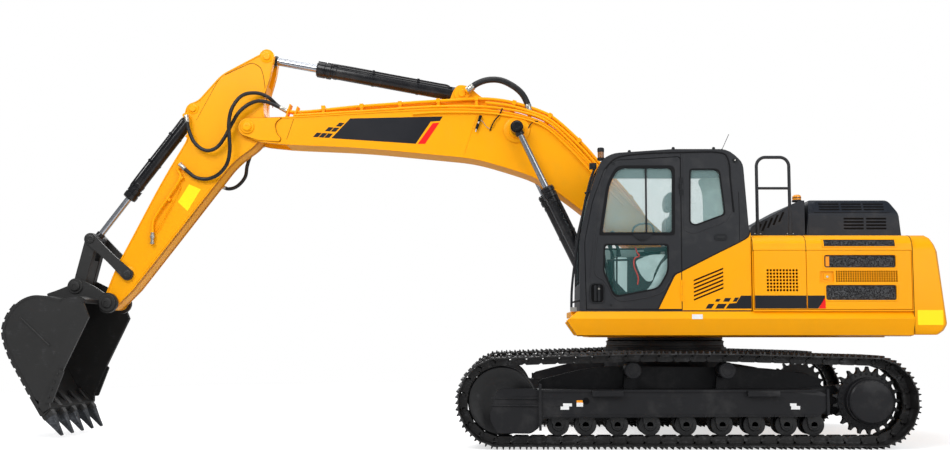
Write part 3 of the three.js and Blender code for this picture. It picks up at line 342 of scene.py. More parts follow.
film("orangeLabel", (0.95, 0.33, 0.01, 1), (0.88, 0.30, 0.02, 1))
amberLens("amberLens", (0.95, 0.34, 0.01, 1), 0.12)
amberLens("smokedLens", (0.26, 0.10, 0.02, 1), 0.02)
print("finishes made:", len(finishes))


# Making shapes.
# A closed outline; a corner is (x, y) or (x, y, length of its round).
def rounded(corners, steps=7):
    points = []
    for i, corner in enumerate(corners):
        here = Vector(corner[:2])
        before = Vector(corners[i - 1][:2]) - here
        after = Vector(corners[(i + 1) % len(corners)][:2]) - here
        reach = min(corner[2] if len(corner) > 2 else 0, before.length * 0.48, after.length * 0.48)
        if reach <= 0:
            points.append(here)
            continue
        entry, leave = before.normalized() * reach, after.normalized() * reach
        for k in range(steps + 1):
            share = k / steps
            points.append(here + entry * (1 - share) ** 2 + leave * share ** 2)
    return points


# A round end about a pin, as corners between two angles in degrees.
def nose(x, z, radius, start, end, steps=14):
    turns = [math.radians(start + (end - start) * i / steps) for i in range(steps + 1)]
    return [(x + math.cos(turn) * radius, z + math.sin(turn) * radius) for turn in turns]


# A closed outline moved inwards; rounds are kept.
def inset(corners, distance):
    area = sum(a[0] * b[1] - b[0] * a[1] for a, b in zip(corners, corners[1:] + corners[:1]))
    side = math.copysign(1, area)
    moved = []
    for i, corner in enumerate(corners):
        here = Vector(corner[:2])
        before = (here - Vector(corners[i - 1][:2])).normalized()
        after = (Vector(corners[(i + 1) % len(corners)][:2]) - here).normalized()
        normal = Vector((-before.y - after.y, before.x + after.x)).normalized() * side
        reach = distance / max(0.5, abs(normal.x * before.y - normal.y * before.x))
        moved.append((here.x + normal.x * reach, here.y + normal.y * reach, *corner[2:]))
    return moved


# A smooth line through points, evenly stepped.
def smoothLine(points, step):
    points = [Vector(p) for p in points]
    route = [points[0] * 2 - points[1], *points, points[-1] * 2 - points[-2]]
    fine = []
    for a, b, c, d in zip(route, route[1:], route[2:], route[3:]):
        t1 = (b - a).length ** 0.5
        t2 = t1 + (c - b).length ** 0.5
        t3 = t2 + (d - c).length ** 0.5
        for k in range(24):
            t = t1 + (t2 - t1) * k / 24
            ab = a * ((t1 - t) / t1) + b * (t / t1)
            bc = b * ((t2 - t) / (t2 - t1)) + c * ((t - t1) / (t2 - t1))
            cd = c * ((t3 - t) / (t3 - t2)) + d * ((t - t2) / (t3 - t2))
            abc = ab * ((t2 - t) / t2) + bc * (t / t2)
            bcd = bc * ((t3 - t) / (t3 - t1)) + cd * ((t - t1) / (t3 - t1))
            fine.append(abc * ((t2 - t) / (t2 - t1)) + bcd * ((t - t1) / (t2 - t1)))
    fine.append(points[-1])
    return evenly(fine, step)


def lineLength(points):
    return sum((b - a).length for a, b in zip(points, points[1:]))


def evenly(points, step):
    count = max(2, round(lineLength(points) / step))
    gap = lineLength(points) / count
    line, due = [points[0]], gap
    for a, b in zip(points, points[1:]):
        span = (b - a).length
        while due <= span + 1e-9 and len(line) < count:
            line.append(a.lerp(b, due / span))
            due += gap
        due -= span
    return line + [points[-1]]


# One piece in the making: solids in millimetres, each with the finish that is set when it is added.
class Piece:
    def __init__(self, *used):
        self.mesh = bmesh.new()
        self.used = list(used)
        self.paint = 0

    def finish(self, name):
        if name not in self.used:
            self.used.append(name)
        self.paint = self.used.index(name)
        return self

    # A solid between rings of points; each ring has as many points as the next.
    def loft(self, rings, closed=False):
        rows = [[self.mesh.verts.new(point) for point in row] for row in rings]
        count = len(rows[0])
        pairs = list(zip(rows, rows[1:])) + ([(rows[-1], rows[0])] if closed else [])
        faces = [self.mesh.faces.new((a[i], a[(i + 1) % count], b[(i + 1) % count], b[i]))
                 for a, b in pairs for i in range(count)]
        if not closed:
            faces += [self.mesh.faces.new(rows[0][::-1]), self.mesh.faces.new(rows[-1])]
        for face in faces:
            face.material_index = self.paint
        bmesh.ops.recalc_face_normals(self.mesh, faces=faces)
        return self

    def side(self, corners, y0, y1, steps=7):
        line = rounded(corners, steps)
        return self.loft([[(p.x, y, p.y) for p in line] for y in (y0, y1)])

    def plan(self, corners, z0, z1):
        line = rounded(corners)
        return self.loft([[(p.x, p.y, z) for p in line] for z in (z0, z1)])

    def across(self, corners, x0, x1):
        line = rounded(corners)
        return self.loft([[(x, p.x, p.y) for p in line] for x in (x0, x1)])

    def block(self, x0, x1, y0, y1, z0, z1):
        return self.plan([(x0, y0), (x1, y0), (x1, y1), (x0, y1)], z0, z1)

    # A turned solid; the profile is (radius, place along the axis), closed on the axis or on itself.
    def turned(self, profile, base=(0, 0, 0), along=(0, 1, 0), sides=40):
        turn = Vector((0, 0, 1)).rotation_difference(Vector(along)).to_matrix()
        base = Vector(base)
        rows = [[base + turn @ Vector((math.cos(a) * r, math.sin(a) * r, z))
                 for a in (2 * math.pi * i / sides for i in range(sides))] for r, z in profile if r > 0]
        return self.loft(rows, closed=all(r > 0 for r, z in profile))

    def rod(self, start, end, radius, sides=16):
        start, end = Vector(start), Vector(end)
        profile = [(0, 0), (radius, 0), (radius, (end - start).length), (0, 0)]
        return self.turned(profile, start, (end - start).normalized(), sides)

    def pin(self, x, z, radius, y0, y1, sides=40):
        return self.rod((x, y0, z), (x, y1, z), radius, sides)

    # A round bar on a route of points.
    def tube(self, points, radius, sides=12):
        line = [Vector(p) for p in points]
        side = (line[1] - line[0]).orthogonal().normalized()
        rows = []
        for i, point in enumerate(line):
            ahead = (line[min(i + 1, len(line) - 1)] - line[max(i - 1, 0)]).normalized()
            side = (side - ahead * side.dot(ahead)).normalized()
            lift = ahead.cross(side)
            width = radius(i / (len(line) - 1)) if callable(radius) else radius
            rows.append([point + (side * math.cos(a) + lift * math.sin(a)) * width
                         for a in (2 * math.pi * k / sides for k in range(sides))])
        return self.loft(rows)

    def pipe(self, points, step, radius, sides=12):
        return self.tube(smoothLine(points, step), radius, sides)

    # A turned boss on a flank, at a distance from the middle and facing outwards.
    def boss(self, profile, x, distance, z, out, sides=40):
        return self.turned(profile, (x, out * distance, z), (0, out, 0), sides)

    # A plate with windows, its edges rounded.
    def windowed(self, corners, windows, y0, y1, edge=4):
        curve = bpy.data.curves.new("plate", "CURVE")
        curve.dimensions, curve.fill_mode = "2D", "BOTH"
        curve.extrude, curve.bevel_depth = (y1 - y0) / 2 - edge, edge
        curve.bevel_resolution, curve.offset = 1, -edge
        for ring in (corners, *windows):
            line = rounded(ring)
            spline = curve.splines.new("POLY")
            spline.points.add(len(line) - 1)
            spline.use_cyclic_u = True
            for point, place in zip(spline.points, line):
                point.co = (place.x, place.y, 0, 1)
        flat = bpy.data.objects.new("plate", curve)
        made = bpy.data.meshes.new_from_object(flat)
        upright = Matrix.Translation((0, (y0 + y1) / 2, 0)) @ Matrix.Rotation(math.pi / 2, 4, "X")
        self.addMesh(made, upright)
        bpy.data.objects.remove(flat)
        bpy.data.curves.remove(curve)
        return self

    def addMesh(self, made, matrix=Matrix()):
        made.transform(matrix)
        old = set(self.mesh.faces)
        self.mesh.from_mesh(made)
        for face in self.mesh.faces:
            if face not in old:
                face.material_index = self.paint
        bpy.data.meshes.remove(made)
        return self

    # A copy of a fixed node, merged into large faces, for a piece that keeps its shape.
    def likeNode(self, node):
        made = frame["nodes"][node].data.copy()
        copy = bmesh.new()
        copy.from_mesh(made)
        bmesh.ops.remove_doubles(copy, verts=copy.verts, dist=2e-5)
        bmesh.ops.dissolve_limit(copy, angle_limit=math.radians(0.6), verts=copy.verts, edges=copy.edges)
        copy.to_mesh(made)
        copy.free()
        return self.addMesh(made, onMachine.inverted())

    # The plain mesh of what was made, in millimetres.
    def plain(self, name="plain"):
        made = bpy.data.meshes.new(name)
        self.mesh.to_mesh(made)
        self.mesh.free()
        return made

    # Ends the making: the object, its finishes, its rounded edges, and the body that carries it.
    def done(self, name, body, where=onMachine, edge=3.0, segments=2, stands=(), slot=None, sharp=32):
        made = self.plain(name)
        made.transform(where)
        return settle(made, name, body, self.used, edge, segments, stands, sharp)


def settle(made, name, body, used, edge=0.0, segments=2, stands=(), sharp=32):
    for paint in used:
        made.materials.append(finishes[paint])
    made.shade_smooth()
    made.set_sharp_from_angle(angle=math.radians(sharp))
    piece = bpy.data.objects.new(name, made)
    bpy.context.scene.collection.objects.link(piece)
    if edge > 0:
        bevel = piece.modifiers.new("edges", "BEVEL")
        bevel.width = edge / 1000
        bevel.segments = segments
        bevel.limit_method = "ANGLE"
        bevel.angle_limit = math.radians(sharp)
        bevel.harden_normals = True
    if body:
        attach(piece, body)
    if stands:
        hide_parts(*stands)
    return piece


# Things that repeat.
# A tree with named inputs; its points carry an item each.
def repeatTree(name, numbers):
    tree = bpy.data.node_groups.new(name, "GeometryNodeTree")
    face = tree.interface
    face.new_socket("Geometry", in_out="INPUT", socket_type="NodeSocketGeometry")
    for label, kind in [("Item", "Object"), ("Finish", "Material"), *numbers]:
        face.new_socket(label, in_out="INPUT", socket_type=f"NodeSocket{kind}")
    face.new_socket("Geometry", in_out="OUTPUT", socket_type="NodeSocketGeometry")
    given = Wire(tree).node("NodeGroupInput")
    return tree, given


def endTree(tree, given, points, turn=None):
    item = given.node("GeometryNodeObjectInfo", {}, {"Object": given.other("Item")}).other("Geometry")
    sockets = {"Points": points, "Instance": item}
    if turn is not None:
        sockets["Rotation"] = turn
    copies = given.node("GeometryNodeInstanceOnPoints", {}, sockets)
    plain = given.node("GeometryNodeRealizeInstances", {}, {"Geometry": copies})
    coloured = given.node("GeometryNodeSetMaterial", {},
                          {"Geometry": plain, "Material": given.other("Finish")})
    given.node("NodeGroupOutput", {}, {"Geometry": coloured})
    return tree


# Items in a straight row.
def rowTree():
    tree, given = repeatTree("inRow", [("Count", "Int"), ("Step", "Vector")])
    index = given.node("GeometryNodeInputIndex")
    place = given.node("ShaderNodeVectorMath", {"operation": "SCALE"},
                       {0: given.other("Step"), "Scale": index})
    points = given.node("GeometryNodePoints", {}, {"Count": given.other("Count"), "Position": place})
    return endTree(tree, given, points)


# Items on a circle about the Y axis, each turned to face outwards.
def circleTree():
    tree, given = repeatTree("onCircle", [("Count", "Int"), ("Radius", "Float"), ("Start", "Float")])
    index = given.node("GeometryNodeInputIndex")
    angle = index / given.other("Count") * (2 * math.pi) + given.other("Start")
    radius = given.other("Radius")
    place = given.node("ShaderNodeCombineXYZ", {}, {
        "X": given.maths("COSINE", angle) * radius, "Z": given.maths("SINE", angle) * radius})
    points = given.node("GeometryNodePoints", {}, {"Count": given.other("Count"), "Position": place})
    turn = given.node("ShaderNodeCombineXYZ", {}, {"Y": 0 - angle})
    return endTree(tree, given, points, given.node("FunctionNodeEulerToRotation", {}, {"Euler": turn}))


# Items at even steps round a closed line in X and Z, each laid along the line.
def beltTree():
    tree, given = repeatTree("roundBelt", [("Count", "Int")])
    line = given.node("GeometryNodeMeshToCurve", {}, {"Mesh": given.other("Geometry")})
    steps = given.node("GeometryNodeCurveToPoints", {"mode": "COUNT"},
                       {"Curve": line, "Count": given.other("Count")})
    ahead = given.node("ShaderNodeSeparateXYZ", {}, {"Vector": steps.other("Tangent")})
    angle = given.maths("ARCTAN2", 0 - ahead.other("Z"), ahead.other("X"))
    turn = given.node("ShaderNodeCombineXYZ", {}, {"Y": angle})
    return endTree(tree, given, steps.other("Points"),
                   given.node("FunctionNodeEulerToRotation", {}, {"Euler": turn}))


trees = {"row": rowTree(), "circle": circleTree(), "belt": beltTree()}


# Runs a tree on a line or nothing, and gives back a plain mesh in millimetres.
def repeated(kind, item, paint, line=(), **inputs):
    start = bpy.data.meshes.new("start")
    line = [Vector(p) for p in line]
    start.from_pydata(line, [(i, (i + 1) % len(line)) for i in range(len(line))], [])
    holder = bpy.data.objects.new("holder", start)
    carried = bpy.data.objects.new("item", item.plain())
    for thing in (holder, carried):
        bpy.context.scene.collection.objects.link(thing)
    modifier = holder.modifiers.new("repeat", "NODES")
    modifier.node_group = trees[kind]
    values = {"Item": carried, "Finish": finishes[paint], **inputs}
    for socket in trees[kind].interface.items_tree:
        if socket.in_out == "INPUT" and socket.name in values:
            modifier[socket.identifier] = values[socket.name]
    depsgraph = bpy.context.evaluated_depsgraph_get()
    made = bpy.data.meshes.new_from_object(holder.evaluated_get(depsgraph))
    holder.modifiers.remove(modifier)
    for thing in (holder, carried):
        bpy.data.objects.remove(thing)
    return made


# Two distances from the middle, on one side of it, in rising order.
def ends(out, near, far):
    return sorted((out * near, out * far))


def placed(piece, made, x=0, y=0, z=0, turn=0):
    return piece.addMesh(made, Matrix.Translation((x, y, z)) @ Matrix.Rotation(math.radians(turn), 4, "Y"))


def boltHead(radius, height, outwards=-1):
    return Piece().turned([(0, 0), (radius, 0), (radius * 0.97, height * 0.8), (radius * 0.8, height),
                           (0, height)],
                          along=(0, outwards, 0), sides=6)


# Hoses.
hoses = {
    "arm_outer": {"radius": 21, "blend": True, "points": [
        (-5452, -232, 3600), (-5425, -235, 3460), (-5345, -238, 3295), (-5220, -238, 3215),
        (-5105, -240, 3245), (-5015, -245, 3355), (-4940, -250, 3500), (-4850, -262, 3650),
        (-4740, -255, 3745), (-4640, -220, 3790), (-4540, -165, 3785), (-4440, -140, 3745),
        (-4350, -135, 3705)]},
    "arm_inner": {"radius": 21, "blend": True, "points": [
        (-4350, -60, 3705), (-4440, -80, 3760), (-4540, -175, 3845), (-4660, -232, 3880), (-4800, -300, 3840),
        (-4905, -330, 3700), (-4945, -325, 3530), (-4940, -315, 3365), (-4935, -300, 3200),
        (-4970, -270, 3060), (-5075, -225, 2945), (-5200, -205, 2895), (-5335, -200, 2910),
        (-5440, -200, 2985), (-5510, -200, 3050)]},
    "arm_far": {"radius": 21, "blend": True, "points": [
        (-4640, 245, 3370), (-4735, 262, 3335), (-4825, 275, 3250), (-4870, 275, 3120), (-4890, 262, 2980),
        (-4980, 235, 2865), (-5070, 215, 2835), (-5160, 205, 2865)]},
    "boom_top": {"radius": 36, "blend": False, "points": [
        (-2235, -165, 3935), (-2150, -165, 4000), (-2030, -165, 4045), (-1880, -165, 4045),
        (-1740, -160, 3985), (-1630, -155, 3895), (-1570, -150, 3790), (-1545, -150, 3700)]},
}


def hose(name, facts):
    line = smoothLine(facts["points"], 12)
    path = [onMachine @ point for point in line]
    piece = Piece("hoseRubber").tube(line, facts["radius"], 20)
    piece = piece.done(f"hose_{name}_tube", None if facts["blend"] else "boom", edge=0,
                       stands=[f"hose_{name}"], sharp=60)
    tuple(path[0])
    lineLength(path)
    pivot = onBoom @ Vector((-boomLength, 0, 0))
    if facts["blend"]:  # the tube's ends are sorted by their reach from the arm's pin along the boom, and the tube is left on no body
        first, last = sorted((path[0], path[-1]), key=lambda p: (p - pivot).dot(onBoom.col[0].xyz))[::-1]
        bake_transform(piece)
        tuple(first)
        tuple(last)


for name, facts in hoses.items():
    hose(name, facts)
print("hoses laid")


# Undercarriage.
belt = {"length": 4630, "radius": 465, "across": 1295, "shoes": 60,
        "carriers": (-530, 420), "carrierHeight": 771, "carrierRadius": 85}
shoe = {"width": 600, "plate": 12, "grouser": 25, "link": 76, "pitch": 171}
wheelX = belt["length"] / 2 - belt["radius"]
chainRadius = belt["radius"] - shoe["grouser"] - 1 - shoe["plate"] - shoe["link"]
undercarriageSides = {"left": -1, "right": 1}  # the way along Y that leads out of the machine


# The line round idler, sprocket and carrier rollers, at a height over the chain's inner face.
def beltLine(height):
    wheels = [(-wheelX, belt["radius"], chainRadius), (wheelX, belt["radius"], chainRadius)]
    wheels += [(x, belt["carrierHeight"], belt["carrierRadius"]) for x in belt["carriers"][::-1]]

    def leaving(wheel, following):
        dx, dz = following[0] - wheel[0], following[1] - wheel[1]
        return math.atan2(dz, dx) - math.pi / 2 + math.asin((wheel[2] - following[2]) / math.hypot(dx, dz))
    line = []
    for i, wheel in enumerate(wheels):
        start = leaving(wheels[i - 1], wheel)
        end = leaving(wheel, wheels[(i + 1) % len(wheels)])
        end += 2 * math.pi if end < start else 0
        steps = max(2, round((end - start) / math.radians(2)))
        for k in range(steps + 1):
            turn = start + (end - start) * k / steps
            line.append((wheel[0] + math.cos(turn) * (wheel[2] + height), 0,
                         wheel[1] + math.sin(turn) * (wheel[2] + height)))
    return line


# One shoe with three bars, its two chain links, bushing and bolts; the track's outside is at -Z.
def trackShoe():
    half = shoe["pitch"] / 2
    plate, tip = -shoe["plate"], -shoe["plate"] - shoe["grouser"]
    section = [(-half + 4, 0), (half - 9, 0), (half + 2, 6), (half + 2, plate + 4), (half - 13, plate)]
    for centre in (half - 24, -2, -half + 22):
        section += [(centre + 10, plate), (centre + 4, tip), (centre - 6, tip), (centre - 12, plate)]
    section += [(-half - 4, plate - 2), (-half - 4, -4)]
    piece = Piece().side(section, -shoe["width"] / 2, shoe["width"] / 2)
    link = [(-half + 6, 2), (half - 30, 2), (half - 18, 22), (half + 10, 30), (half + 14, 56), (half - 6, 74),
            (-half + 40, 74), (-half + 16, 60), (-half - 14, 56), (-half - 20, 34), (-half - 2, 22)]
    for side in (-1, 1):
        piece.side(link, *ends(side, 62, 98))
        for x in (-38, 40):
            piece.turned([(0, 0), (15, 0), (15, 11), (0, 11)], (x, side * 80, plate), (0, 0, -1), 6)
    piece.rod((half - 4, -112, 42), (half - 4, 112, 42), 20, 10)
    return piece


for side, out in undercarriageSides.items():
    centre = belt["across"] * out
    track = Piece("trackSteel")
    shoes = repeated("belt", trackShoe(), "trackSteel", beltLine(shoe["link"]), Count=belt["shoes"])
    placed(track, shoes, y=centre)
    track.done(f"track_{side}_shoes", "undercarriage", edge=0, stands=[f"track_{side}"], sharp=25)

    # Idler: a dished wheel with a rim step on each side.
    rim = chainRadius - 3
    wheel = Piece("wheelSteel").turned([
        (0, -112), (52, -112), (60, -104), (66, -92), (78, -78), (78, -62), (150, -40), (250, -44),
        (rim - 46, -72), (rim - 14, -75), (rim - 10, -52), (rim, -48), (rim, 48), (rim - 10, 52),
        (rim - 14, 75), (rim - 46, 72), (250, 44), (150, 40), (78, 62), (78, 92), (60, 104), (0, 112)],
        (-wheelX, centre, belt["radius"]), sides=72)
    wheel.done(f"idler_{side}_wheel", "undercarriage", edge=0, stands=[f"idler_{side}"], sharp=28)

    # Sprocket: toothed ring, hub, and the drive's round cover with its ring of bolts.
    teeth, tip, root = 21, chainRadius - 6, chainRadius - 56
    ringCorners = []
    for tooth in range(teeth):
        for share, radius in ((-0.34, root), (-0.20, root + 12), (-0.09, tip - 4), (0.0, tip),
                              (0.09, tip - 4), (0.20, root + 12), (0.34, root), (0.5, root - 8)):
            turn = (tooth + share) / teeth * 2 * math.pi
            ringCorners.append((wheelX + math.cos(turn) * radius, belt["radius"] + math.sin(turn) * radius))
    hub = (wheelX, centre, belt["radius"])
    drive = Piece("wheelSteel").side(ringCorners, centre - 32, centre + 32)
    drive.finish("framePaint").turned([
        (0, 226), (150, 226), (168, 222), (208, 216), (222, 204), (225, 186), (225, 150), (234, 146),
        (234, 60), (292, 52), (292, 34), (0, 34)], hub, (0, out, 0), 72)
    drive.turned([(0, -155), (196, -155), (196, 0), (0, 0)], hub, (0, out, 0), 48)
    coverBolts = repeated("circle", boltHead(7.5, 7, out), "framePaint", Count=24, Radius=204.0, Start=0.13)
    placed(drive, coverBolts, wheelX, centre + out * 213, belt["radius"])
    ringBolts = repeated("circle", boltHead(13, 14, out), "wheelSteel", Count=30, Radius=270.0, Start=0.1)
    placed(drive, ringBolts, wheelX, centre + out * 50, belt["radius"])
    drive.done(f"sprocket_{side}_drive", "undercarriage", edge=2.0, stands=[f"sprocket_{side}"])
print("tracks, idlers and drives made")

rollers = {"places": (-1285, -1010, -690, -363, 0, 363, 690, 1010, 1285), "height": 228.4}


def roller(piece, x, centre, out):
    base = (x, centre, rollers["height"])
    piece.turned([(0, 150), (34, 150), (40, 146), (56, 145), (62, 138), (62, 120), (84, 118), (110, 112),
                  (112, 100), (112, 92), (88, 84), (86, 20), (86, -20), (88, -84), (112, -92), (112, -112),
                  (84, -118), (62, -120), (62, -145), (0, -145)], base, (0, out, 0), 40)
    clamp = [(x - 74, 348), (x - 66, 250), (x - 40, 214, 18), (x + 40, 214, 18), (x + 66, 250), (x + 74, 348)]
    for near, far in ((out * 122, out * 150), (-out * 122, -out * 150)):
        low, high = sorted((centre + near, centre + far))
        piece.side(clamp, low, high)


frameWidth = 410
for side, out in undercarriageSides.items():
    centre = belt["across"] * out
    row = Piece("wheelSteel")
    for x in rollers["places"]:
        roller(row, x, centre, out)
    row.done(f"bottom_rollers_{side}_row", "undercarriage", edge=2.0, stands=[f"bottom_rollers_{side}"])

    # Side frame: its box, lids with pressed steps, yoke ribs, guards and the carrier rollers' caps.
    box = Piece("framePaint").likeNode(f"track_frame_{side}")
    outer = centre + out * frameWidth / 2

    def lid(x0, x1, z0, z1, deep):
        low, high = sorted((outer - out * 4, outer + out * deep))
        box.block(x0, x1, low, high, z0, z1)
    lid(-1480, -1455, 180, 640, 30)
    lid(-1478, 1300, 560, 582, 12)
    lid(-1478, 1300, 316, 330, 14)
    for z, deep in ((498, 4), (425, 6)):
        box.rod((-1955, outer - out * 20, z), (-1240, outer - out * deep, z), 11, 8)
    lid(1395, 1420, 330, 592, 22)
    for x in (-1250, -880, -520, -180, 180, 520, 880, 1180):
        box.turned([(0, 0), (13, 0), (13, 12), (0, 12)], (x, outer + out * 12, 324), (0, out, 0), 6)
    for x in belt["carriers"]:
        cap = [(0, 0), (82, 0), (85, 8), (85, 30), (76, 40), (60, 41), (58, 36), (0, 36)]
        box.turned(cap, (x, centre + out * 130, belt["carrierHeight"]), (0, out, 0))
        placed(box, repeated("circle", boltHead(6, 6, out), "framePaint", Count=6, Radius=40.0),
               x, centre + out * 165, belt["carrierHeight"])
    # Inner rib that stands up between the frame and the upper run.
    inner = centre - out * frameWidth / 2
    low, high = sorted((inner, inner + out * 16))
    box.side([(-1470, 570), (-1470, 664, 40), (-1040, 770, 90), (-796, 806, 200), (900, 790, 200),
              (1310, 722, 90), (1455, 672, 40), (1455, 570)], low, high)
    # A dark disc on the frame's face: painted shade of a hole.
    box.finish("paintedHoleShade").turned([(0, 0), (34, 0), (34, 3), (0, 3)], (-1010, outer, 470), (0, out, 0), 28)
    box.finish("whiteLabel")
    for label in ((-1265, -1180, 385, 420, 1.2), (-1240, -1150, 418, 448, 1.4), (-1105, -1040, 415, 455, 1.2),
                  (1040, 1130, 388, 422, 1.2), (1030, 1095, 420, 448, 1.4)):
        lid(*label)
    box.finish("orangeLabel")
    lid(-1105, -1040, 455, 478, 1.3)
    box.done(f"track_frame_{side}_box", "undercarriage", edge=3.0, stands=[f"track_frame_{side}"])

body = Piece("framePaint").likeNode("x_frame")
body.block(-240, 240, -230, 230, 380, 470)
body.done("x_frame_casting", "undercarriage", edge=8.0, segments=3, stands=["x_frame"])

# Slewing ring: two races, a seal groove and its bolts.
turntable = Piece("wheelSteel").turned([
    (562, 990), (668, 990), (668, 1004), (660, 1010), (660, 1040), (666, 1046), (666, 1058), (638, 1064),
    (634, 1070), (650, 1074), (650, 1099), (562, 1099)], along=(0, 0, 1), sides=96)
bolts = repeated("circle", boltHead(13, 14, -1), "wheelSteel", Count=36, Radius=640.0)
turntable.addMesh(bolts, Matrix.Translation((0, 0, 1056)) @ Matrix.Rotation(-math.pi / 2, 4, "X"))
turntable.done("slew_ring_races", "undercarriage", edge=1.5, stands=["slew_ring"])
print("undercarriage made")


# Boom.
boom = {"half": 215, "core": 165, "cylinderPin": (-2114, 907), "armPin": (-2849, 1136), "eye": 88.6}
tip = -boomLength
boomUnder = [(tip + 1345, 177, 300), (tip + 2590, 446, 260), (-2040, 455, 200), (-1740, 450, 260),
             (-1318, 320, 260)]
boomOver = [(-1191, 778, 240), (-1482, 944, 200), (-1851, 1101, 260), (-2339, 1078, 320), (-2979, 901, 400),
            (tip + 400, 256, 140)]
boomFootNose = nose(0, 0, 175, 235, 425)
boomTipNose = nose(tip, 0, 108, 105, 265)
boomOutline = [*boomTipNose, (tip + 190, -118, 60), (tip + 490, -56, 240), *boomUnder, *boomFootNose,
               *boomOver]


def boomPlace(point):
    return onBoom.inverted() @ (onMachine @ Vector(point))


# A pin's end: a collar and a cap plate.
def pinEnd(piece, x, distance, z, out, radius):
    collar = [(0, 0), (radius + 26, 0), (radius + 26, 16), (radius + 16, 24), (0, 24)]
    piece.boss(collar, x, distance, z, out, 48)
    cap = [(0, 24), (radius, 24), (radius, 40), (radius - 10, 48), (radius * 0.3, 50), (radius * 0.25, 44),
           (0, 44)]
    piece.boss(cap, x, distance, z, out)


boomPiece = Piece("yellowPaint")
boomPiece.side([(tip + 480, -58), *boomUnder, *boomFootNose, *boomOver, (tip + 285, 212), (tip + 285, 150)],
               -boom["half"] + 9, boom["half"] - 9)
for out in (-1, 1):
    boomPiece.side([*boomTipNose, (tip + 190, -118, 60), (tip + 490, -56, 60), (tip + 530, -44),
                    (tip + 530, 305), (tip + 400, 256, 140)], *ends(out, boom["core"] + 0.6,
                                                                    boom["half"] - 8.4))
    boomPiece.windowed(boomOutline, [inset(boomOutline, 17)], *ends(out, boom["half"] - 22, boom["half"]),
                       edge=3)
    # Doubler at the arm's pin, boss at the foot and round the cylinder's pin.
    doubler = [*nose(tip, 0, 104, 100, 262), (tip + 175, -104, 30), (tip + 398, -48, 12),
               (tip + 407, -10, 20), (tip + 338, 31, 60), (tip + 278, 141, 60), (tip + 337, 225, 30),
               (tip + 290, 208, 20)]
    boomPiece.side(doubler, *ends(out, boom["half"] - 10, boom["half"] + 9))
    # A darker rim round the doubler: painted shade along its edge.
    boomPiece.finish("seamPaintedShade").side(inset(doubler, -6), *ends(out, boom["half"] - 10, boom["half"] + 1))
    boomPiece.finish("yellowPaint")
    pinEnd(boomPiece, tip, boom["half"] + 8, 0, out, 52)
    x, z = boom["cylinderPin"]
    pinCap = [(0, 0), (150, 0), (150, 8), (142, 12), (100, 14), (95, 20), (95, 59.5), (0, 59.5)]
    boomPiece.boss(pinCap, x, boom["half"] - 1, z, out, 64)
    boomPiece.boss([(0, 0), (150, 0), (150, 18), (142, 25), (0, 25)], 0, boom["half"] - 1, 0, out, 48)
    # Weld seams on the flank.
    seam = [(-2604, 455), (-2596, 455), (-2596, 990), (-2604, 990)]
    boomPiece.side(seam, *ends(out, boom["half"] - 12, boom["half"] - 5))
    # A thin dark strip near the tip: painted shade of a seam.
    boomPiece.finish("seamPaintedShade").side([(tip + 467, 0), (tip + 473, 0), (tip + 473, 250), (tip + 467, 250)],
                                       *ends(out, boom["half"] - 10, boom["half"] - 6.5))
    boomPiece.finish("yellowPaint")
    bracket = [(-3010, 860), (-2280, 1040, 60), (-2519, 1130, 60), (-2690, 1190, 110), (-2760, 1226, 60),
               (-2849, 1240, 90), (-2928, 1216, 50), (-2956, 1130, 40), (-2960, 900)]
    boomPiece.side(bracket, *ends(out, boom["eye"], boom["eye"] + 30))
    x, z = boom["armPin"]
    boomPiece.boss([(0, 0), (92, 0), (92, 10), (86, 14), (0, 14)], x, boom["eye"] + 30, z, out, 48)
    boomPiece.boss([(0, 14), (44, 14), (44, 26), (38, 30), (0, 30)], x, boom["eye"] + 30, z, out, 36)
boomPiece.pin(*boom["armPin"], 42, -boom["eye"] - 20, boom["eye"] + 20)
for x in (tip + 360, tip + 450):
    boomPiece.block(x, x + 16, -172, -50, 200, 408)

# Film stripes: a long slanted field, slanted squares before it and a red bar at its end.
field = [(-4099, 171), (-3162, 404), (-3078, 700), (-2982, 738), (-2965, 799), (-3966, 454)]
redBar = [(-3140, 408), (-3060, 435), (-2980, 718), (-3051, 689)]
squares = ((2, 70, (-213, -148, -84), 56), (100, 162, (-143, -77), 56), (182, 240, (-74,), 58))
for out in (-1, 1):
    low, high = ends(out, boom["half"] - 10, boom["half"] - 7.2)
    boomPiece.finish("blackFilm").side(field, low, high)
    for bottom, top, starts, wide in squares:
        for start in starts:
            corners = [(field[0][0] + 0.97 * u + 0.425 * v, field[0][1] + 0.24 * u + 0.905 * v) for u, v in
                       ((start, bottom), (start + wide, bottom), (start + wide, top), (start, top))]
            boomPiece.side(corners, low, high)
    boomPiece.finish("redFilm").side(redBar, low, high)
boomPiece.done("boom_box", "boom", onBoom, edge=4.0, stands=["boom"])

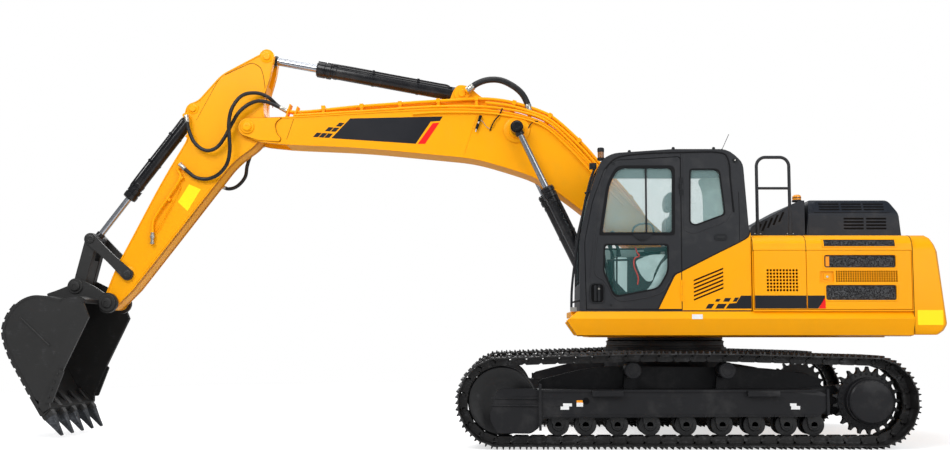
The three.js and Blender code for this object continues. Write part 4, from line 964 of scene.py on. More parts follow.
# Pipes on the boom's back, with clamps.
pipes = {"radius": 19, "line": [(-4570, 384), (-3887, 640), (-2950, 1010), (-2553, 1155), (-2264, 1206),
                                (-1845, 1200), (-1700, 1158), (-1329, 980), (-1119, 852), (-700, 606),
                                (-430, 400), (-330, 240)],
         "across": (-152, -104, 104, 152)}
piping = Piece("yellowPaint")
for i, y in enumerate(pipes["across"]):
    start = [(-4560, y, 330)]
    if i < 2:  # the two left pipes start where a hose ends
        first = boomPlace(hoses["arm_outer"]["points"][-1] if i == 0 else hoses["arm_inner"]["points"][0])
        start = [(first.x + 6, first.y, first.z), (first.x + 110, first.y, first.z + 8)]
    drop = 0 if i in (0, 3) else 26
    piping.pipe([*start, *[(x, y, z - drop) for x, z in pipes["line"][i < 2:]]], 40, pipes["radius"])
for out in (-1, 1):
    back = [(-2979, 901), (-2339, 1078), (-1851, 1101), (-1482, 944), (-1191, 778), (-700, 512)]
    upper, lower = [(-4600, 275), (-3900, 545), *back], [(-3300, 778), *back]
    piping.pipe([(x, out * (boom["half"] - 14), z + 17) for x, z in upper], 40, 15, 10)
    piping.pipe([(x, out * (boom["half"] + 14), z - 62) for x, z in lower], 40, 11, 10)
    # A lower pair fills the space between the upper pipes and the flange.
    for y, drop in ((188, 52), (128, 74)):
        piping.pipe([(x, out * y, z - drop) for x, z in pipes["line"][3:]], 40, 17)
# Grease block and its lines on the left flank.
out = -boom["half"]
piping.finish("sealRubber").rod((-2552, out - 20, 935), (-2552, out - 20, 862), 17, 14)
piping.rod((-2552, out - 20, 836), (-2552, out - 20, 772), 16, 14)
piping.block(-2562, -2542, out - 22, out + 2, 800, 900)
piping.pipe([(-2346, out + 6, 1096), (-2352, out - 16, 1010), (-2384, out - 18, 930), (-2398, out - 16, 850),
             (-2400, out + 4, 806)], 24, 8, 8)
piping.pipe([(-1905, out + 6, 1080), (-1960, out - 12, 1050), (-1990, out - 12, 985), (-1996, out + 4, 920)],
            24, 6, 8)
piping.finish("zincFitting").rod((-2552, out - 20, 862), (-2552, out - 20, 836), 12, 12)
piping.rod((-2552, out - 20, 772), (-2552, out - 20, 738), 8, 12)
piping.pipe([(-2540, out - 20, 886), (-2500, out - 24, 868), (-2462, out - 22, 836), (-2412, out - 12, 822)],
            20, 4, 8)
piping.finish("yellowPaint")
line = smoothLine([(x, 0, z) for x, z in pipes["line"]], 20)
for i in range(14, len(line) - 20, 22):
    ahead = (line[i + 1] - line[i - 1]).normalized()
    turn = math.degrees(math.atan2(-ahead.z, ahead.x))
    clamp = Piece().block(-22, 22, -182, -74, -24, 26).block(-22, 22, 74, 182, -24, 26)
    clamp.block(-16, 16, -176, -160, -150, 0).block(-16, 16, 160, 176, -150, 0)
    placed(piping, clamp.plain(), line[i].x, 0, line[i].z, turn)
piping.done("boom_pipes", "boom", onBoom, edge=1.5)
print("boom made")

# Arm.
arm = {"half": 165, "fork": 88.6, "head": (780, 353), "foot": (-210, 651), "link": (-2143, 42),
       "linkHead": (-2085, 626)}
armTip = -armLength
armUnder = [(armTip + 280, -113), (-1357, -109, 200), (-415, -101, 140), (-83, -197, 140), (130, -150, 120),
            (330, 63, 140)]
armOver = [(arm["foot"][0] - 298, 480, 80), (-1067, 407, 300), (arm["link"][0] - 60, 189, 180),
           (armTip + 60, 104, 80)]
armTipNose = nose(armTip, 0, 80, 100, 265)
armOutline = [*armTipNose, *armUnder, (643, 184, 100), *nose(*arm["head"], 85, -50, 110),
              (299, 636, 80), (arm["foot"][0] + 110, 660, 50), (arm["foot"][0] - 5, 730, 60),
              (arm["foot"][0] - 110, 690, 60), *armOver]
armPiece = Piece("yellowPaint")
armPiece.side([*armTipNose, *armUnder, (515, 140), (515, 520), (-520, 520), *armOver],
              -arm["half"] + 9, arm["half"] - 9)
headBlock = [(-45, 500), (515, 500), (515, 552), (299, 628, 80), (-45, 645)]
armPiece.side(headBlock, -arm["fork"] - 2, arm["fork"] + 2)
for out in (-1, 1):
    armPiece.side(armOutline, *ends(out, arm["fork"], arm["half"] - 8))
    armPiece.windowed(armOutline, [inset(armOutline, 15)], *ends(out, arm["half"] - 22, arm["half"]), edge=3)
    # Bosses, the wear strip on the lower edge, and the welds round the head, drawn as dark strips of painted
    # shade.
    for x, z, radius in ((*arm["head"], 74), (*arm["foot"], 66), (*arm["link"], 92)):
        collar = [(0, 0), (radius, 0), (radius, 4), (radius - 4, 6), (0, 6)]
        armPiece.boss(collar, x, arm["half"] - 8, z, out, 48)
    for x, z in (arm["head"], arm["foot"]):
        armPiece.boss([(0, 6), (40, 6), (40, 18), (34, 22), (0, 22)], x, arm["half"] - 8, z, out, 32)
    armPiece.side([(armTip + 200, -95), (-1357, -91), (-460, -84), (-470, -62), (-1357, -66),
                   (armTip + 200, -70)], *ends(out, arm["half"] - 10, arm["half"] - 3))
    seam = [(366, 15), (580, 237, 20), (644, 327, 40), (631, 449, 60), (327, 604), (323, 596), (623, 443, 60),
            (635, 329, 40), (574, 243, 20), (360, 22)]
    armPiece.finish("seamPaintedShade").side(seam, *ends(out, arm["half"] - 10, arm["half"] - 6.5))
    armPiece.side([(281, 634), (189, 622), (-290, 537), (-290, 532), (190, 616), (281, 628)],
                  *ends(out, arm["half"] - 10, arm["half"] - 6.5))
    armPiece.finish("yellowPaint")
armPiece.pin(armTip, 0, 76, -205, 205, 48)
armLabel = [(-921, 137), (-1157, 111), (-1173, -42), (-885, -6)]
for out in (-1, 1):
    armPiece.finish("yellowLabel").side(armLabel, *ends(out, arm["half"] - 9, arm["half"] - 6.8))
armPiece.done("arm_box", "arm", onArm, edge=4.0, stands=["arm"])

# Pipes on the arm's flank: from the hose ends to the coupling near the bucket and to the cylinder.
armPipes = Piece("yellowPaint")
toArm = onArm.inverted() @ onMachine


def armPlace(point):
    return toArm @ Vector(point)


inner = armPlace(hoses["arm_inner"]["points"][-1])
outer = armPlace(hoses["arm_outer"]["points"][0])
armPipes.pipe([inner, (inner.x - 60, -192, inner.z + 10), (-900, -192, 262), (-1180, -192, 222),
               (-1400, -192, 205), (-1500, -192, 182), (-1560, -192, 142), (-1602, -192, 108)], 20, 15)
armPipes.pipe([outer, (outer.x - 12, -196, outer.z + 34), (outer.x - 4, -176, outer.z + 62),
               (outer.x + 10, -140, outer.z + 74)], 12, 14)
for shift in (0, 26):
    armPipes.pipe([(-985 - shift, -150, 190), (-1006 - shift, -174, 186), (-1560, -174, 104 - shift),
                   (-1585, -160, 98 - shift)], 40, 4, 6)
armPipes.block(-930, -895, -200, -160, 225, 275)
armPipes.block(-1210, -1175, -200, -160, 180, 230)
armPipes.finish("zincFitting").turned([(0, 0), (20, 0), (20, 26), (27, 30), (27, 62), (20, 66), (18, 104),
                                       (24, 110), (24, 132), (0, 132)], (-1600, -192, 110),
                                      (-0.795, 0, -0.606), 20)
armPipes.done("arm_pipes", "arm", onArm, edge=1.5)
print("arm made")


# Hose ends: a crimped sleeve and a nut where each hose meets its pipe
def hoseEnd(name, tipPoint, backPoint, radius, body, wall):
    tipPoint, backPoint = Vector(tipPoint), Vector(backPoint)
    along = (tipPoint - backPoint).normalized()
    piece = Piece("zincFitting").turned([
        (0, -62), (radius + 3, -62), (radius + 5, -54), (radius + 5, -20), (radius + 3, -14), (radius + 3, 2),
        (0, 2)], tipPoint, along, 24)
    piece.turned([(0, 2), (radius + 8, 2), (radius + 8, 26), (0, 26)], tipPoint, along, 6)
    foot = tipPoint + along * 22
    reach = Vector((foot.x, wall, foot.z)) if wall is not None else foot + Vector((0, 0, -150))
    piece.finish("yellowPaint").rod(foot, reach, min(radius, 22), 16)
    piece.turned([(0, 24), (radius + 1, 24), (radius + 1, 44), (0, 46)], tipPoint, along, 20)
    piece.done(f"hose_end_{name}", body, edge=1.0)


# The body at each end and the flank that its pipe starts from.
hoseEnds = {"arm_outer": (("arm", -150), ("boom", -120)), "arm_inner": (("boom", -90), ("arm", -150)),
            "arm_far": (("boom", 205), ("arm", 150)), "boom_top": (("boom", -100), ("boom", None))}
for name, (first, last) in hoseEnds.items():
    points, radius = hoses[name]["points"], hoses[name]["radius"]
    hoseEnd(name + "_start", points[0], points[1], radius, *first)
    hoseEnd(name + "_end", points[-1], points[-2], radius, *last)


# Cylinders: a barrel with gland, ports and pipe, and a plated rod with its eye.
# A pin's place, seen from another piece's foot pin.
def seenFrom(parent, own, pin):
    place = parent.inverted() @ (own @ Vector((pin[0], 0, pin[1])))
    return place.x, place.z


boomRam = {"parent": onMachine, "foot": (-710, 1450),
           "head": seenFrom(onMachine, onBoom, boom["cylinderPin"]), "barrel": 68, "rod": 37, "eye": 78,
           "half": 70, "length": 1480, "gland": 130, "retracts": 610}
rams = {
    "boom_cylinder_left": {**boomRam, "y": -345},
    "boom_cylinder_right": {**boomRam, "y": 345},
    "arm_cylinder": {"parent": onBoom, "foot": boom["armPin"], "head": seenFrom(onBoom, onArm, arm["head"]),
                     "y": 0, "barrel": 84, "rod": 47, "eye": 88, "half": 88, "length": 1720, "gland": 170,
                     "retracts": 370},
    "bucket_cylinder": {"parent": onArm, "foot": arm["foot"], "head": arm["linkHead"], "y": 0,
                        "barrel": 66, "rod": 36, "eye": 74, "half": 70, "length": 1275, "gland": 140,
                        "retracts": 375},
}


def ram(name, size):
    foot, head = Vector(size["foot"]), Vector(size["head"])
    reach = (head - foot).length
    where = hinged(size["parent"], *foot, math.degrees(math.atan2(head.y - foot.y, foot.x - head.x)))
    base, along = (0, size["y"], 0), (-1, 0, 0)
    tube, end, gland = size["barrel"], size["length"], size["length"] - size["gland"]
    neck, bore, bottom = min(size["half"] - 4, tube), size["rod"] + 1.5, size["eye"] + 60
    barrel = Piece("barrelPaint").turned([
        (0, 20), (neck - 6, 20), (neck, size["eye"] + 10), (tube, size["eye"] + 34), (tube, gland - 70),
        (tube + 5, gland - 64), (tube + 5, gland - 30), (tube, gland - 24), (tube, gland - 4),
        (tube + 14, gland), (tube + 14, gland + 52), (tube + 6, gland + 56), (tube + 6, gland + 68),
        (tube + 13, gland + 72), (tube + 13, end - 16), (tube + 4, end - 12), (tube - 6, end),
        (bore + 6, end), (bore, end - 6), (bore, bottom), (0, bottom)], base, along, 56)
    barrel.pin(0, 0, size["eye"], size["y"] - size["half"] + 1, size["y"] + size["half"] - 1, 48)
    bolts = repeated("circle", boltHead(8, 10), "barrelPaint", Count=10, Radius=float(tube + 1))
    turn = Matrix.Rotation(math.radians(-90), 4, "Z")
    barrel.addMesh(bolts, Matrix.Translation((-end + 12, size["y"], 0)) @ turn)
    # Feed pipe from the foot port to the head port, held by two straps.
    side = -1 if size["y"] <= 0 else 1
    lift, out = tube * 0.62, size["y"] + side * (tube * 0.62 + 14)
    barrel.pipe([(-size["eye"] - 60, out, lift), (-size["eye"] - 90, out + side * 10, lift + 16),
                 (-size["eye"] - 200, out + side * 10, lift + 18), (-gland * 0.5, out + side * 10, lift + 18),
                 (-gland + 90, out + side * 10, lift + 18), (-gland - 10, out + side * 6, lift + 12),
                 (-gland - 30, out - side * 6, lift - 6)], 24, 11, 10)
    for share in (0.34, 0.68):
        x, block = -gland * share, sorted((out - side * 18, out + side * 26))
        barrel.turned([(tube, -14), (tube + 5, -14), (tube + 5, 14), (tube, 14)], (x, size["y"], 0), along)
        barrel.block(x - 14, x + 14, *block, lift - 8, lift + 34)
    elbow = sorted((out - side * 26, out + side * 12))
    barrel.block(-size["eye"] - 84, -size["eye"] - 36, *elbow, lift - 30, lift + 12)
    barrel.done(f"{name}_tube", f"{name}_barrel", where, edge=1.5, stands=[f"{name}_barrel"])
    start, plated = bottom + 15 + size["retracts"], size["rod"]
    rodPiece = Piece("chromeRod").turned([(0, start), (plated, start), (plated, reach - 96), (0, reach - 96)],
                                         base, along, 48)
    rodPiece.finish("barrelPaint").turned([(0, reach - 100), (plated + 9, reach - 100),
                                           (plated + 14, reach - 92), (plated + 14, reach - 30),
                                           (0, reach - 20)], base, along)
    rodPiece.pin(-reach, 0, size["eye"] - 6, size["y"] - size["half"] + 1, size["y"] + size["half"] - 1, 48)
    if name.startswith("boom"):
        rodPiece.turned([(0, 0), (56, 0), (56, 26), (50, 32), (30, 33), (28, 28), (0, 28)],
                        (-reach, size["y"] + side * size["half"], 0), (0, side, 0), 40)
    rodPiece.done(f"{name}_shaft", f"{name}_rod", where, edge=1.5, stands=[f"{name}_rod"])


for name, size in rams.items():
    ram(name, size)
print("cylinders made")

# Bucket linkage.
links = {"inner": 165.3, "outer": 199.3}


# A link's outline round its two pins.
def linkOutline(start, end, radius):
    along = math.degrees(math.atan2(end.y - start.y, end.x - start.x))
    return [*nose(*start, radius, along + 105, along + 255), *nose(*end, radius, along - 75, along + 75)]


foot, head = Vector(arm["link"]), Vector(arm["linkHead"])
linkPlate = linkOutline(foot, head, 68)
waist = (foot + head) / 2
acrossLink = Vector((-(head - foot).y, (head - foot).x)).normalized()
linkPlate.insert(15, tuple(waist - acrossLink * 50) + (120,))
linkPlate.append(tuple(waist + acrossLink * 50) + (120,))
sideLinks = Piece("bucketSteel")
for out in (-1, 1):
    sideLinks.side(linkPlate, *ends(out, links["inner"] + 0.3, links["outer"]))
    footCap = [(0, 0), (47, 0), (47, 10), (41, 12), (22, 12), (20, 8), (0, 8)]
    sideLinks.boss(footCap, foot.x, links["outer"] - 0.5, foot.y, out, 36)
    headCap = [(0, 0), (50, 0), (50, 12), (42, 16), (22, 16), (20, 11), (0, 11)]
    sideLinks.boss(headCap, head.x, links["outer"] - 0.5, head.y, out, 36)
sideLinks.pin(foot.x, foot.y, 45, -links["outer"], links["outer"], 36)
sideLinks.done("bucket_side_links_pair", "bucket_side_links", onArm, edge=4.0, segments=3,
               stands=["bucket_side_links"])

bucketLink = onArm.inverted() @ (onBucket @ Vector((105, 0, 392)))
low = Vector((bucketLink.x, bucketLink.z))
pushPlate = linkOutline(head, low, 70)
push = Piece("bucketSteel")
for out in (-1, 1):
    near, far = sorted((out * 76, out * arm["half"]))
    push.side(pushPlate, near, far)
span = (low - head).normalized()
wide = Vector((-span.y, span.x)) * 62
start, end = head.lerp(low, 0.42), low
push.side([tuple(start + wide), tuple(end + wide), tuple(end - wide), tuple(start - wide)], -120, 120)
push.pin(low.x, low.y, 70, -204, 204, 44)
push.pin(head.x, head.y, 44, -164, 164, 36)
push.done("bucket_push_link_casting", "bucket_push_link", onArm, edge=6.0, segments=3,
          stands=["bucket_push_link"])

# Bucket.
scoop = {"half": 650, "sheet": 26, "side": 28, "teeth": 5, "earInner": 205.5, "ear": 42}
scoopBack = [(-20, 104), (14, 168), (2, 250), (-42, 350), (-48, 540), (-70, 660), (-140, 770), (-250, 848),
             (-400, 892), (-530, 884), (-728, 776), (-990, 545), (-1215, 335), (-1290, 235)]
scoopMouth = [(-1213, 181), (-1130, 200), (-836, 148), (-171, 4)]


def smoothFlat(points, step=22):
    return [(p.x, p.z) for p in smoothLine([(x, 0, z) for x, z in points], step)]


backLine = smoothFlat(scoopBack)
insideLine = inset(backLine + scoopMouth, scoop["sheet"])[:len(backLine)]
shell = Piece("bucketSteel").side(backLine + insideLine[::-1], -scoop["half"] + 2, scoop["half"] - 2, 1)
for out in (-1, 1):
    shell.side(inset(backLine + scoopMouth, 6), *ends(out, scoop["half"] - scoop["side"], scoop["half"]), 1)
    # Thick strip along the mouth, rim strip round the back, and a stiffening bar on the flank.
    shell.side([(-171, 6), (-40, 96), (-30, 130), (-250, 170), (-830, 300), (-1210, 310), (-1270, 240),
                (-1213, 186), (-1130, 205), (-836, 152)], *ends(out, scoop["half"] - 6, scoop["half"] + 13))
    backRim = [*backLine[12:-4], *inset(backLine, 26)[12:-4][::-1]]
    shell.side(backRim, *ends(out, scoop["half"] - 4, scoop["half"] + 5), 1)
    shell.rod((-330, out * (scoop["half"] + 4), 740), (-560, out * (scoop["half"] + 4), 350), 10, 10)
    # Side cutter with bolts.
    shell.side([(-1150, 165, 20), (-1165, 252, 20), (-770, 190, 20), (-790, 118, 20)],
               *ends(out, scoop["half"] + 12, scoop["half"] + 36))
    bolts = repeated("row", boltHead(15, 12, out), "bucketSteel", Count=4, Step=(86.0, 0.0, -11.5))
    placed(shell, bolts, -1090, out * (scoop["half"] + 36), 212)
# Heel blocks down both edges of the back.
heel = [Vector((x, 0, z)) for x, z in backLine]
start = min(range(len(heel)), key=lambda i: (heel[i] - Vector((-250, 0, 848))).length)
for i in range(start, len(heel) - 6, 5):
    ahead = (heel[i + 1] - heel[i - 1]).normalized()
    turn = math.degrees(math.atan2(-ahead.z, ahead.x))
    block = Piece().block(-40, 40, -scoop["half"] - 4, -scoop["half"] + 70, -14, 10)
    block.block(-40, 40, scoop["half"] - 70, scoop["half"] + 4, -14, 10)
    for y in (-330, 0, 330):
        block.block(-54, 54, y - 45, y + 45, -10, 10)
    placed(shell, block.plain(), heel[i].x, 0, heel[i].z, turn)
# Ears, their bosses and pins, and the cross tube between them.
ear = [*nose(0, 0, 115, 150, 390), (150, 190, 40), *nose(105, 392, 92, -10, 100), (15, 590, 90),
       (-45, 690, 20), (-80, 655), (-60, 540), (-54, 352), (-4, 245), (18, 165), (-16, 112)]
for out in (-1, 1):
    shell.side(ear, *ends(out, scoop["earInner"], scoop["earInner"] + scoop["ear"]))
    for x, z, radius in ((0, 0, 96), (105, 392, 84)):
        shell.boss([(0, 0), (radius, 0), (radius, 12), (radius - 6, 18), (56, 18), (54, 34), (46, 40),
                    (24, 41), (22, 35), (0, 35)], x, scoop["earInner"] + scoop["ear"] - 2, z, out)
    shell.side([(-30, 96), (10, 100, 10), (26, 168, 10), (14, 250, 10), (-20, 262)],
               *ends(out, scoop["earInner"] + 20, scoop["half"] - 20))
# Cutting lip.
lip = [(-1213, 181), (-1298, 222, 6), (-1318, 262, 10), (-1180, 392), (-1150, 362)]
shell.side(lip, -scoop["half"], scoop["half"])


# A tooth and its adapter, as boxes of changing size along the digging line.
def tooth(piece, y):
    tipPoint, root = Vector((-1472, 0, 8)), Vector((-1196, 0, 300))
    ahead = (root - tipPoint).normalized()
    up = Vector((-ahead.z, 0, ahead.x))
    stages = {"toothSteel": ((0, 6, 30), (18, 12, 33), (110, 30, 36), (205, 52, 44), (236, 56, 47),
                             (240, 50, 42)),
              "bucketSteel": ((232, 60, 50), (262, 64, 54), (310, 58, 54), (400, 50, 50), (520, 32, 44))}
    for paint, sections in stages.items():
        rings = []
        for reach, high, wide in sections:
            centre = tipPoint + ahead * reach + Vector((0, y, 0))
            rings.append([centre + up * high * b + Vector((0, wide * a, 0)) for a, b in
                          ((-1, -0.7), (-0.8, -1), (0.8, -1), (1, -0.7), (1, 0.7), (0.8, 1), (-0.8, 1),
                           (-1, 0.7))])
        piece.finish(paint).loft(rings)
    centre = tipPoint + ahead * 250
    piece.finish("toothSteel").rod((centre.x, y - 62, centre.z), (centre.x, y + 62, centre.z), 14, 12)


for k in range(scoop["teeth"]):
    tooth(shell, (k / (scoop["teeth"] - 1) - 0.5) * 2 * (scoop["half"] - 70))
shell.done("bucket_shell", "bucket", onBucket, edge=3.0, stands=["bucket"])
print("bucket and linkage made")


# Upper structure: deck, bodies and tail
deck = {"top": 1368, "body": 1370, "bodyTop": 2160, "front": 712, "split": 1262, "rear": 2350}
for node, name, edge in (("upper_frame", "deck", 5), ("counterweight", "tail_weight", 14),
                         ("body_left", "left_body", 6), ("body_right", "right_body", 6),
                         ("hydraulic_tank", "oil_tank", 8), ("fuel_tank", "fuel_tank_shell", 8),
                         ("step_box", "step_box_shell", 8)):
    Piece("yellowPaint").likeNode(node).done(name, "upper", edge=edge, stands=(node,))
for node, name in (("cooler", "cooler_block"), ("engine", "engine_block"), ("control_valve", "valve_block")):
    Piece("graphitePaint").likeNode(node).done(name, "upper", edge=4, stands=(node,))


# Square or round holes in rows, as rings for a windowed plate.
def holes(x0, z0, columns, rows, step, radius, sides=8):
    turns = [2 * math.pi * (i + 0.5) / sides for i in range(sides)]
    return [[(x0 + i * step[0] + math.cos(t) * radius,
              z0 + k * step[1] + math.sin(t) * radius) for t in turns]
            for i in range(columns) for k in range(rows)]


def box(x0, x1, z0, z1, corner=0):
    return [(x0, z0, corner), (x1, z0, corner), (x1, z1, corner), (x0, z1, corner)]


doorFace = -deck["body"]
doorPlate = 28
doorLow, doorHigh = deck["top"] + 22, deck["bodyTop"] - 169
grilles = (box(1458, 2178, 1484, 1637, 26), box(1445, 2178, 1816, 1944, 26))


# A raised rim round an opening, and the net behind it.
def grille(piece, ring, face, outwards, net):
    low, high = sorted((face + outwards * 5, face - outwards * 6))
    piece.finish("yellowPaint").windowed(inset(ring, -14), [ring], low, high, 3)
    low, high = sorted((face - outwards * 14, face - outwards * 22))
    net.finish("wireNet").side(inset(ring, -8), low, high)


frontDoor = Piece("yellowPaint")
frontDoor.windowed(box(deck["front"] + 14, deck["split"] - 3, doorLow, doorHigh, 8),
                   holes(866, 1584, 10, 7, (33, 34), 13), doorFace, doorFace + doorPlate, 2)
# A dark plate behind the holes: painted shade seen through them.
frontDoor.finish("paintedHoleShade").side(box(845, 1185, 1560, 1805), doorFace + doorPlate, doorFace + doorPlate + 3)
frontDoor.done("front_side_door", "left_front_door", edge=0, stands=("door_left_front",))

rearDoor, nets = Piece("yellowPaint"), Piece("wireNet")
latchPlace = box(1402, 1538, 1668, 1776, 14)
rearDoor.windowed(box(deck["split"] + 3, deck["rear"] - 14, doorLow, doorHigh, 8),
                  [*grilles, latchPlace, *holes(1572, 1678, 26, 5, (24.5, 24), 12.5, 4)],
                  doorFace, doorFace + doorPlate, 2)
for ring in grilles:
    grille(rearDoor, ring, doorFace, -1, nets)
rearDoor.windowed(inset(latchPlace, -10), [latchPlace], doorFace - 4, doorFace + 4, 2)
rearDoor.side(inset(latchPlace, -6), doorFace + 16, doorFace + 20)
rearDoor.side(box(1440, 1508, 1694, 1752, 8), doorFace + 4, doorFace + 17)
rearDoor.finish("zincFitting").pin(1474, 1722, 11, doorFace - 1, doorFace + 5, 20)
rearDoor.finish("orangeLabel").side(box(1462, 1500, 1830, 1930), doorFace + 11, doorFace + 14.5)
# A dark plate behind the holes: painted shade seen through them.
rearDoor.finish("paintedHoleShade").side(box(1555, 2200, 1660, 1790), doorFace + doorPlate, doorFace + doorPlate + 3)
rearDoor.done("rear_side_door", "left_rear_door", edge=0, stands=("door_left_rear",))
nets.done("rear_door_nets", "left_rear_door", edge=0)

# The right door: guessed, with the same kind of openings.
rightDoor, rightNets = Piece("yellowPaint"), Piece("wireNet")
rightGrille = box(1560, 2180, 1740, 1900, 26)
rightDoor.windowed(box(deck["split"] + 3, deck["rear"] - 14, doorLow, doorHigh, 8), [rightGrille],
                   -doorFace - doorPlate, -doorFace, 2)
grille(rightDoor, rightGrille, -doorFace, 1, rightNets)
rightDoor.finish("trimPlastic").side(box(1320, 1420, 1640, 1740, 20), -doorFace - 6, -doorFace + 3)
rightDoor.done("right_side_door", "right_door", edge=0, stands=("door_right",))
rightNets.done("right_door_net", "right_door", edge=0)

# Shoulder grille on the bend above the rear door, film band, labels and seams.
trim = Piece("yellowPaint")


def shoulder(share, out=0.0):
    across = -deck["body"] + 170 * share ** 2 - out * (1 - share)
    return across, deck["bodyTop"] - 170 * (1 - share) ** 2 + out * share


net = [shoulder(s, 2.0) for s in (0.14, 0.21, 0.28, 0.35, 0.42)]
rim = [shoulder(s, 5.0) for s in (0.115, 0.14)], [shoulder(s, 5.0) for s in (0.42, 0.45)]
for strip in rim:
    trim.across([*strip, *[(y + 12, z) for y, z in strip[::-1]]], 1432, 2190)
for x0, x1 in ((1432, 1447), (2175, 2190)):
    strip = [shoulder(s, 5.0) for s in (0.115, 0.2, 0.28, 0.36, 0.45)]
    trim.across([*strip, *[(y + 12, z) for y, z in strip[::-1]]], x0, x1)
trim.finish("wireNet").across([*net, *[(y + 10, z) for y, z in net[::-1]]], 1445, 2177)
trim.finish("sealRubber")
for x in (deck["front"] + 5, deck["split"], deck["rear"] + 0.3):
    seam = [shoulder(s, 0.7) for s in (-0.02, 0.1, 0.25, 0.4, 0.55, 0.7, 0.85, 1)]
    seam.append((-1000, deck["bodyTop"] + 0.7))
    trim.across([*seam, *[(y + 4, z - 4) for y, z in seam[::-1]]], x - 2.6, x + 2.6)
trim.side(box(deck["rear"] - 2.3, deck["rear"] + 2.9, 1135, 1992), doorFace - 0.7, doorFace + 3)
label = box(2384, 2644, 1230, 1382, 10)
trim.finish("yellowLabel").side(label, doorFace - 1.6, doorFace + 2)
trim.finish("whiteLabel").side(box(82, 190, 1290, 1338, 4), -1391.5, -1383)
trim.done("body_trim", "upper", edge=0)

bandLow, bandHigh = 1397, 1530
slant = 0.62


def bandPart(piece, x0, x1, left=0.0, right=0.0, paint="blackFilm"):
    tall = bandHigh - bandLow
    corners = [(x0, bandLow), (x1, bandLow), (x1 + right * tall, bandHigh), (x0 + left * tall, bandHigh)]
    piece.finish(paint).side(corners, doorFace - 1.4, doorFace + 1)


frontBand, rearBand = Piece("blackFilm"), Piece("blackFilm")
bandPart(frontBand, deck["front"] + 17, deck["split"] - 6)
frontBand.done("front_door_band", "left_front_door", edge=0, slot="graphite_paint")
bandPart(rearBand, deck["split"] + 6, 1372, 0, slant)
bandPart(rearBand, 1376, 1450, slant, 0, paint="redFilm")
rearBand.done("rear_door_band", "left_rear_door", edge=0, slot="graphite_paint")
print("bodies made")

# Handrails: bent tube, one cross bar, flanged feet.
bend = 95
quarter = [math.pi / 2 * i / 10 for i in range(11)]
rails = (("left", 812, 1152, -1190, 2983, 2656), ("right", 945, 1160, 1190, 2860, 2520))
for side, x0, x1, y, top, middle in rails:
    rail = Piece("graphitePaint")
    foot = deck["bodyTop"] + 2
    rise = [(x0 + bend - bend * math.cos(a), y, top - bend + bend * math.sin(a)) for a in quarter]
    fall = [(x1 - bend + bend * math.sin(a), y, top - bend + bend * math.cos(a)) for a in quarter]
    rail.tube([(x0, y, foot), *rise, *fall, (x1, y, foot)], 17, 16)
    rail.rod((x0, y, middle), (x1, y, middle), 14, 14)
    for x in (x0, x1):
        rail.rod((x, y, foot), (x, y, foot + 150), 21, 16)
        rail.block(x - 42, x + 42, y - 26, y + 26, foot - 1.5, foot + 12)
        for shift in (-30, 30):
            rail.finish("zincFitting").rod((x + shift, y, foot + 12), (x + shift, y, foot + 22), 8, 6)
        rail.finish("graphitePaint")
    rail.done(f"{side}_rail", "upper", edge=1.2, segments=1, stands=(f"handrail_{side}",))

# Hood: the shell, its slotted side plates and top slots.
hood = {"half": 600, "front": 1480, "rear": 2528, "top": 2617, "crease": 2458}
shell = Piece("hoodPaint").likeNode("engine_hood")
for out in (-1, 1):
    slots = [box(x, x + 222, z, z + 19, 9) for x in (1894, 2140) for z in (2280, 2316, 2352, 2388)]
    shell.finish("hoodPaint").windowed(
        [(hood["front"] + 22, 2168), (hood["rear"] - 22, 2168), (hood["rear"] - 26, 2436, 20),
         (hood["front"] + 28, 2436, 20)], slots, *ends(out, hood["half"] - 1, hood["half"] + 4), 1.4)
    # A dark plate behind the side slots: painted shade seen through them.
    shell.finish("paintedHoleShade")
    shell.side(box(1880, 2376, 2270, 2420), *ends(out, hood["half"] - 2, hood["half"] + 0.6))
    lean = math.atan2(80, hood["top"] - hood["crease"])
    flat = Piece("hoodPaint").windowed(
        [(-420, 10, 12), (420, 10, 12), (400, 150, 12), (-390, 150, 12)],
        [box(x, x + 226, z, z + 20, 9) for x in (-355, -110, 135) for z in (36, 71, 106)], -4, 1, 1.4)
    # A dark plate behind the top slots: painted shade seen through them.
    back = Piece("paintedHoleShade").side(box(-375, 378, 26, 136), -1.2, 1)
    for source in (flat, back):
        turn = Matrix.Diagonal((1, -out, 1, 1)) @ Matrix.Rotation(-lean, 4, "X")
        shell.finish(source.used[0])
        shell.addMesh(source.plain(), Matrix.Translation((1990, out * hood["half"], hood["crease"])) @ turn)
bmesh.ops.recalc_face_normals(shell.mesh, faces=shell.mesh.faces)
shell.finish("zincFitting")
for y in (-330, 330):
    shell.block(hood["rear"] - 4, hood["rear"] + 9, y - 26, y + 26, 2210, 2300)
shell.done("hood_shell", "engine_hood", edge=0, stands=("engine_hood",))

cover = Piece("hoodPaint").likeNode("sloping_cover")
# Slots on the flanks and across the top, drawn as dark strips of painted shade.
for out in (-1, 1):
    for i in range(5):
        x = 985 + 62 * i
        z = 2300 + 0.53 * (x - 875)
        slot = [(x - 58, z - 128), (x - 34, z - 128), (x + 16, z - 16), (x - 8, z - 16)]
        cover.finish("paintedHoleShade").side(slot, *ends(out, hood["half"] - 2, hood["half"] + 1.5))
for y in (-300, 300):
    for i in range(6):
        x = 990 + 62 * i
        z = 2310 + 0.533 * (x - 880)
        cover.side([(x, z - 4), (x + 26, z + 9), (x + 24, z + 13), (x - 2, z)], y - 190, y + 190)
cover.done("slope_cover", "upper", edge=5, stands=("sloping_cover",), slot="graphite_paint")

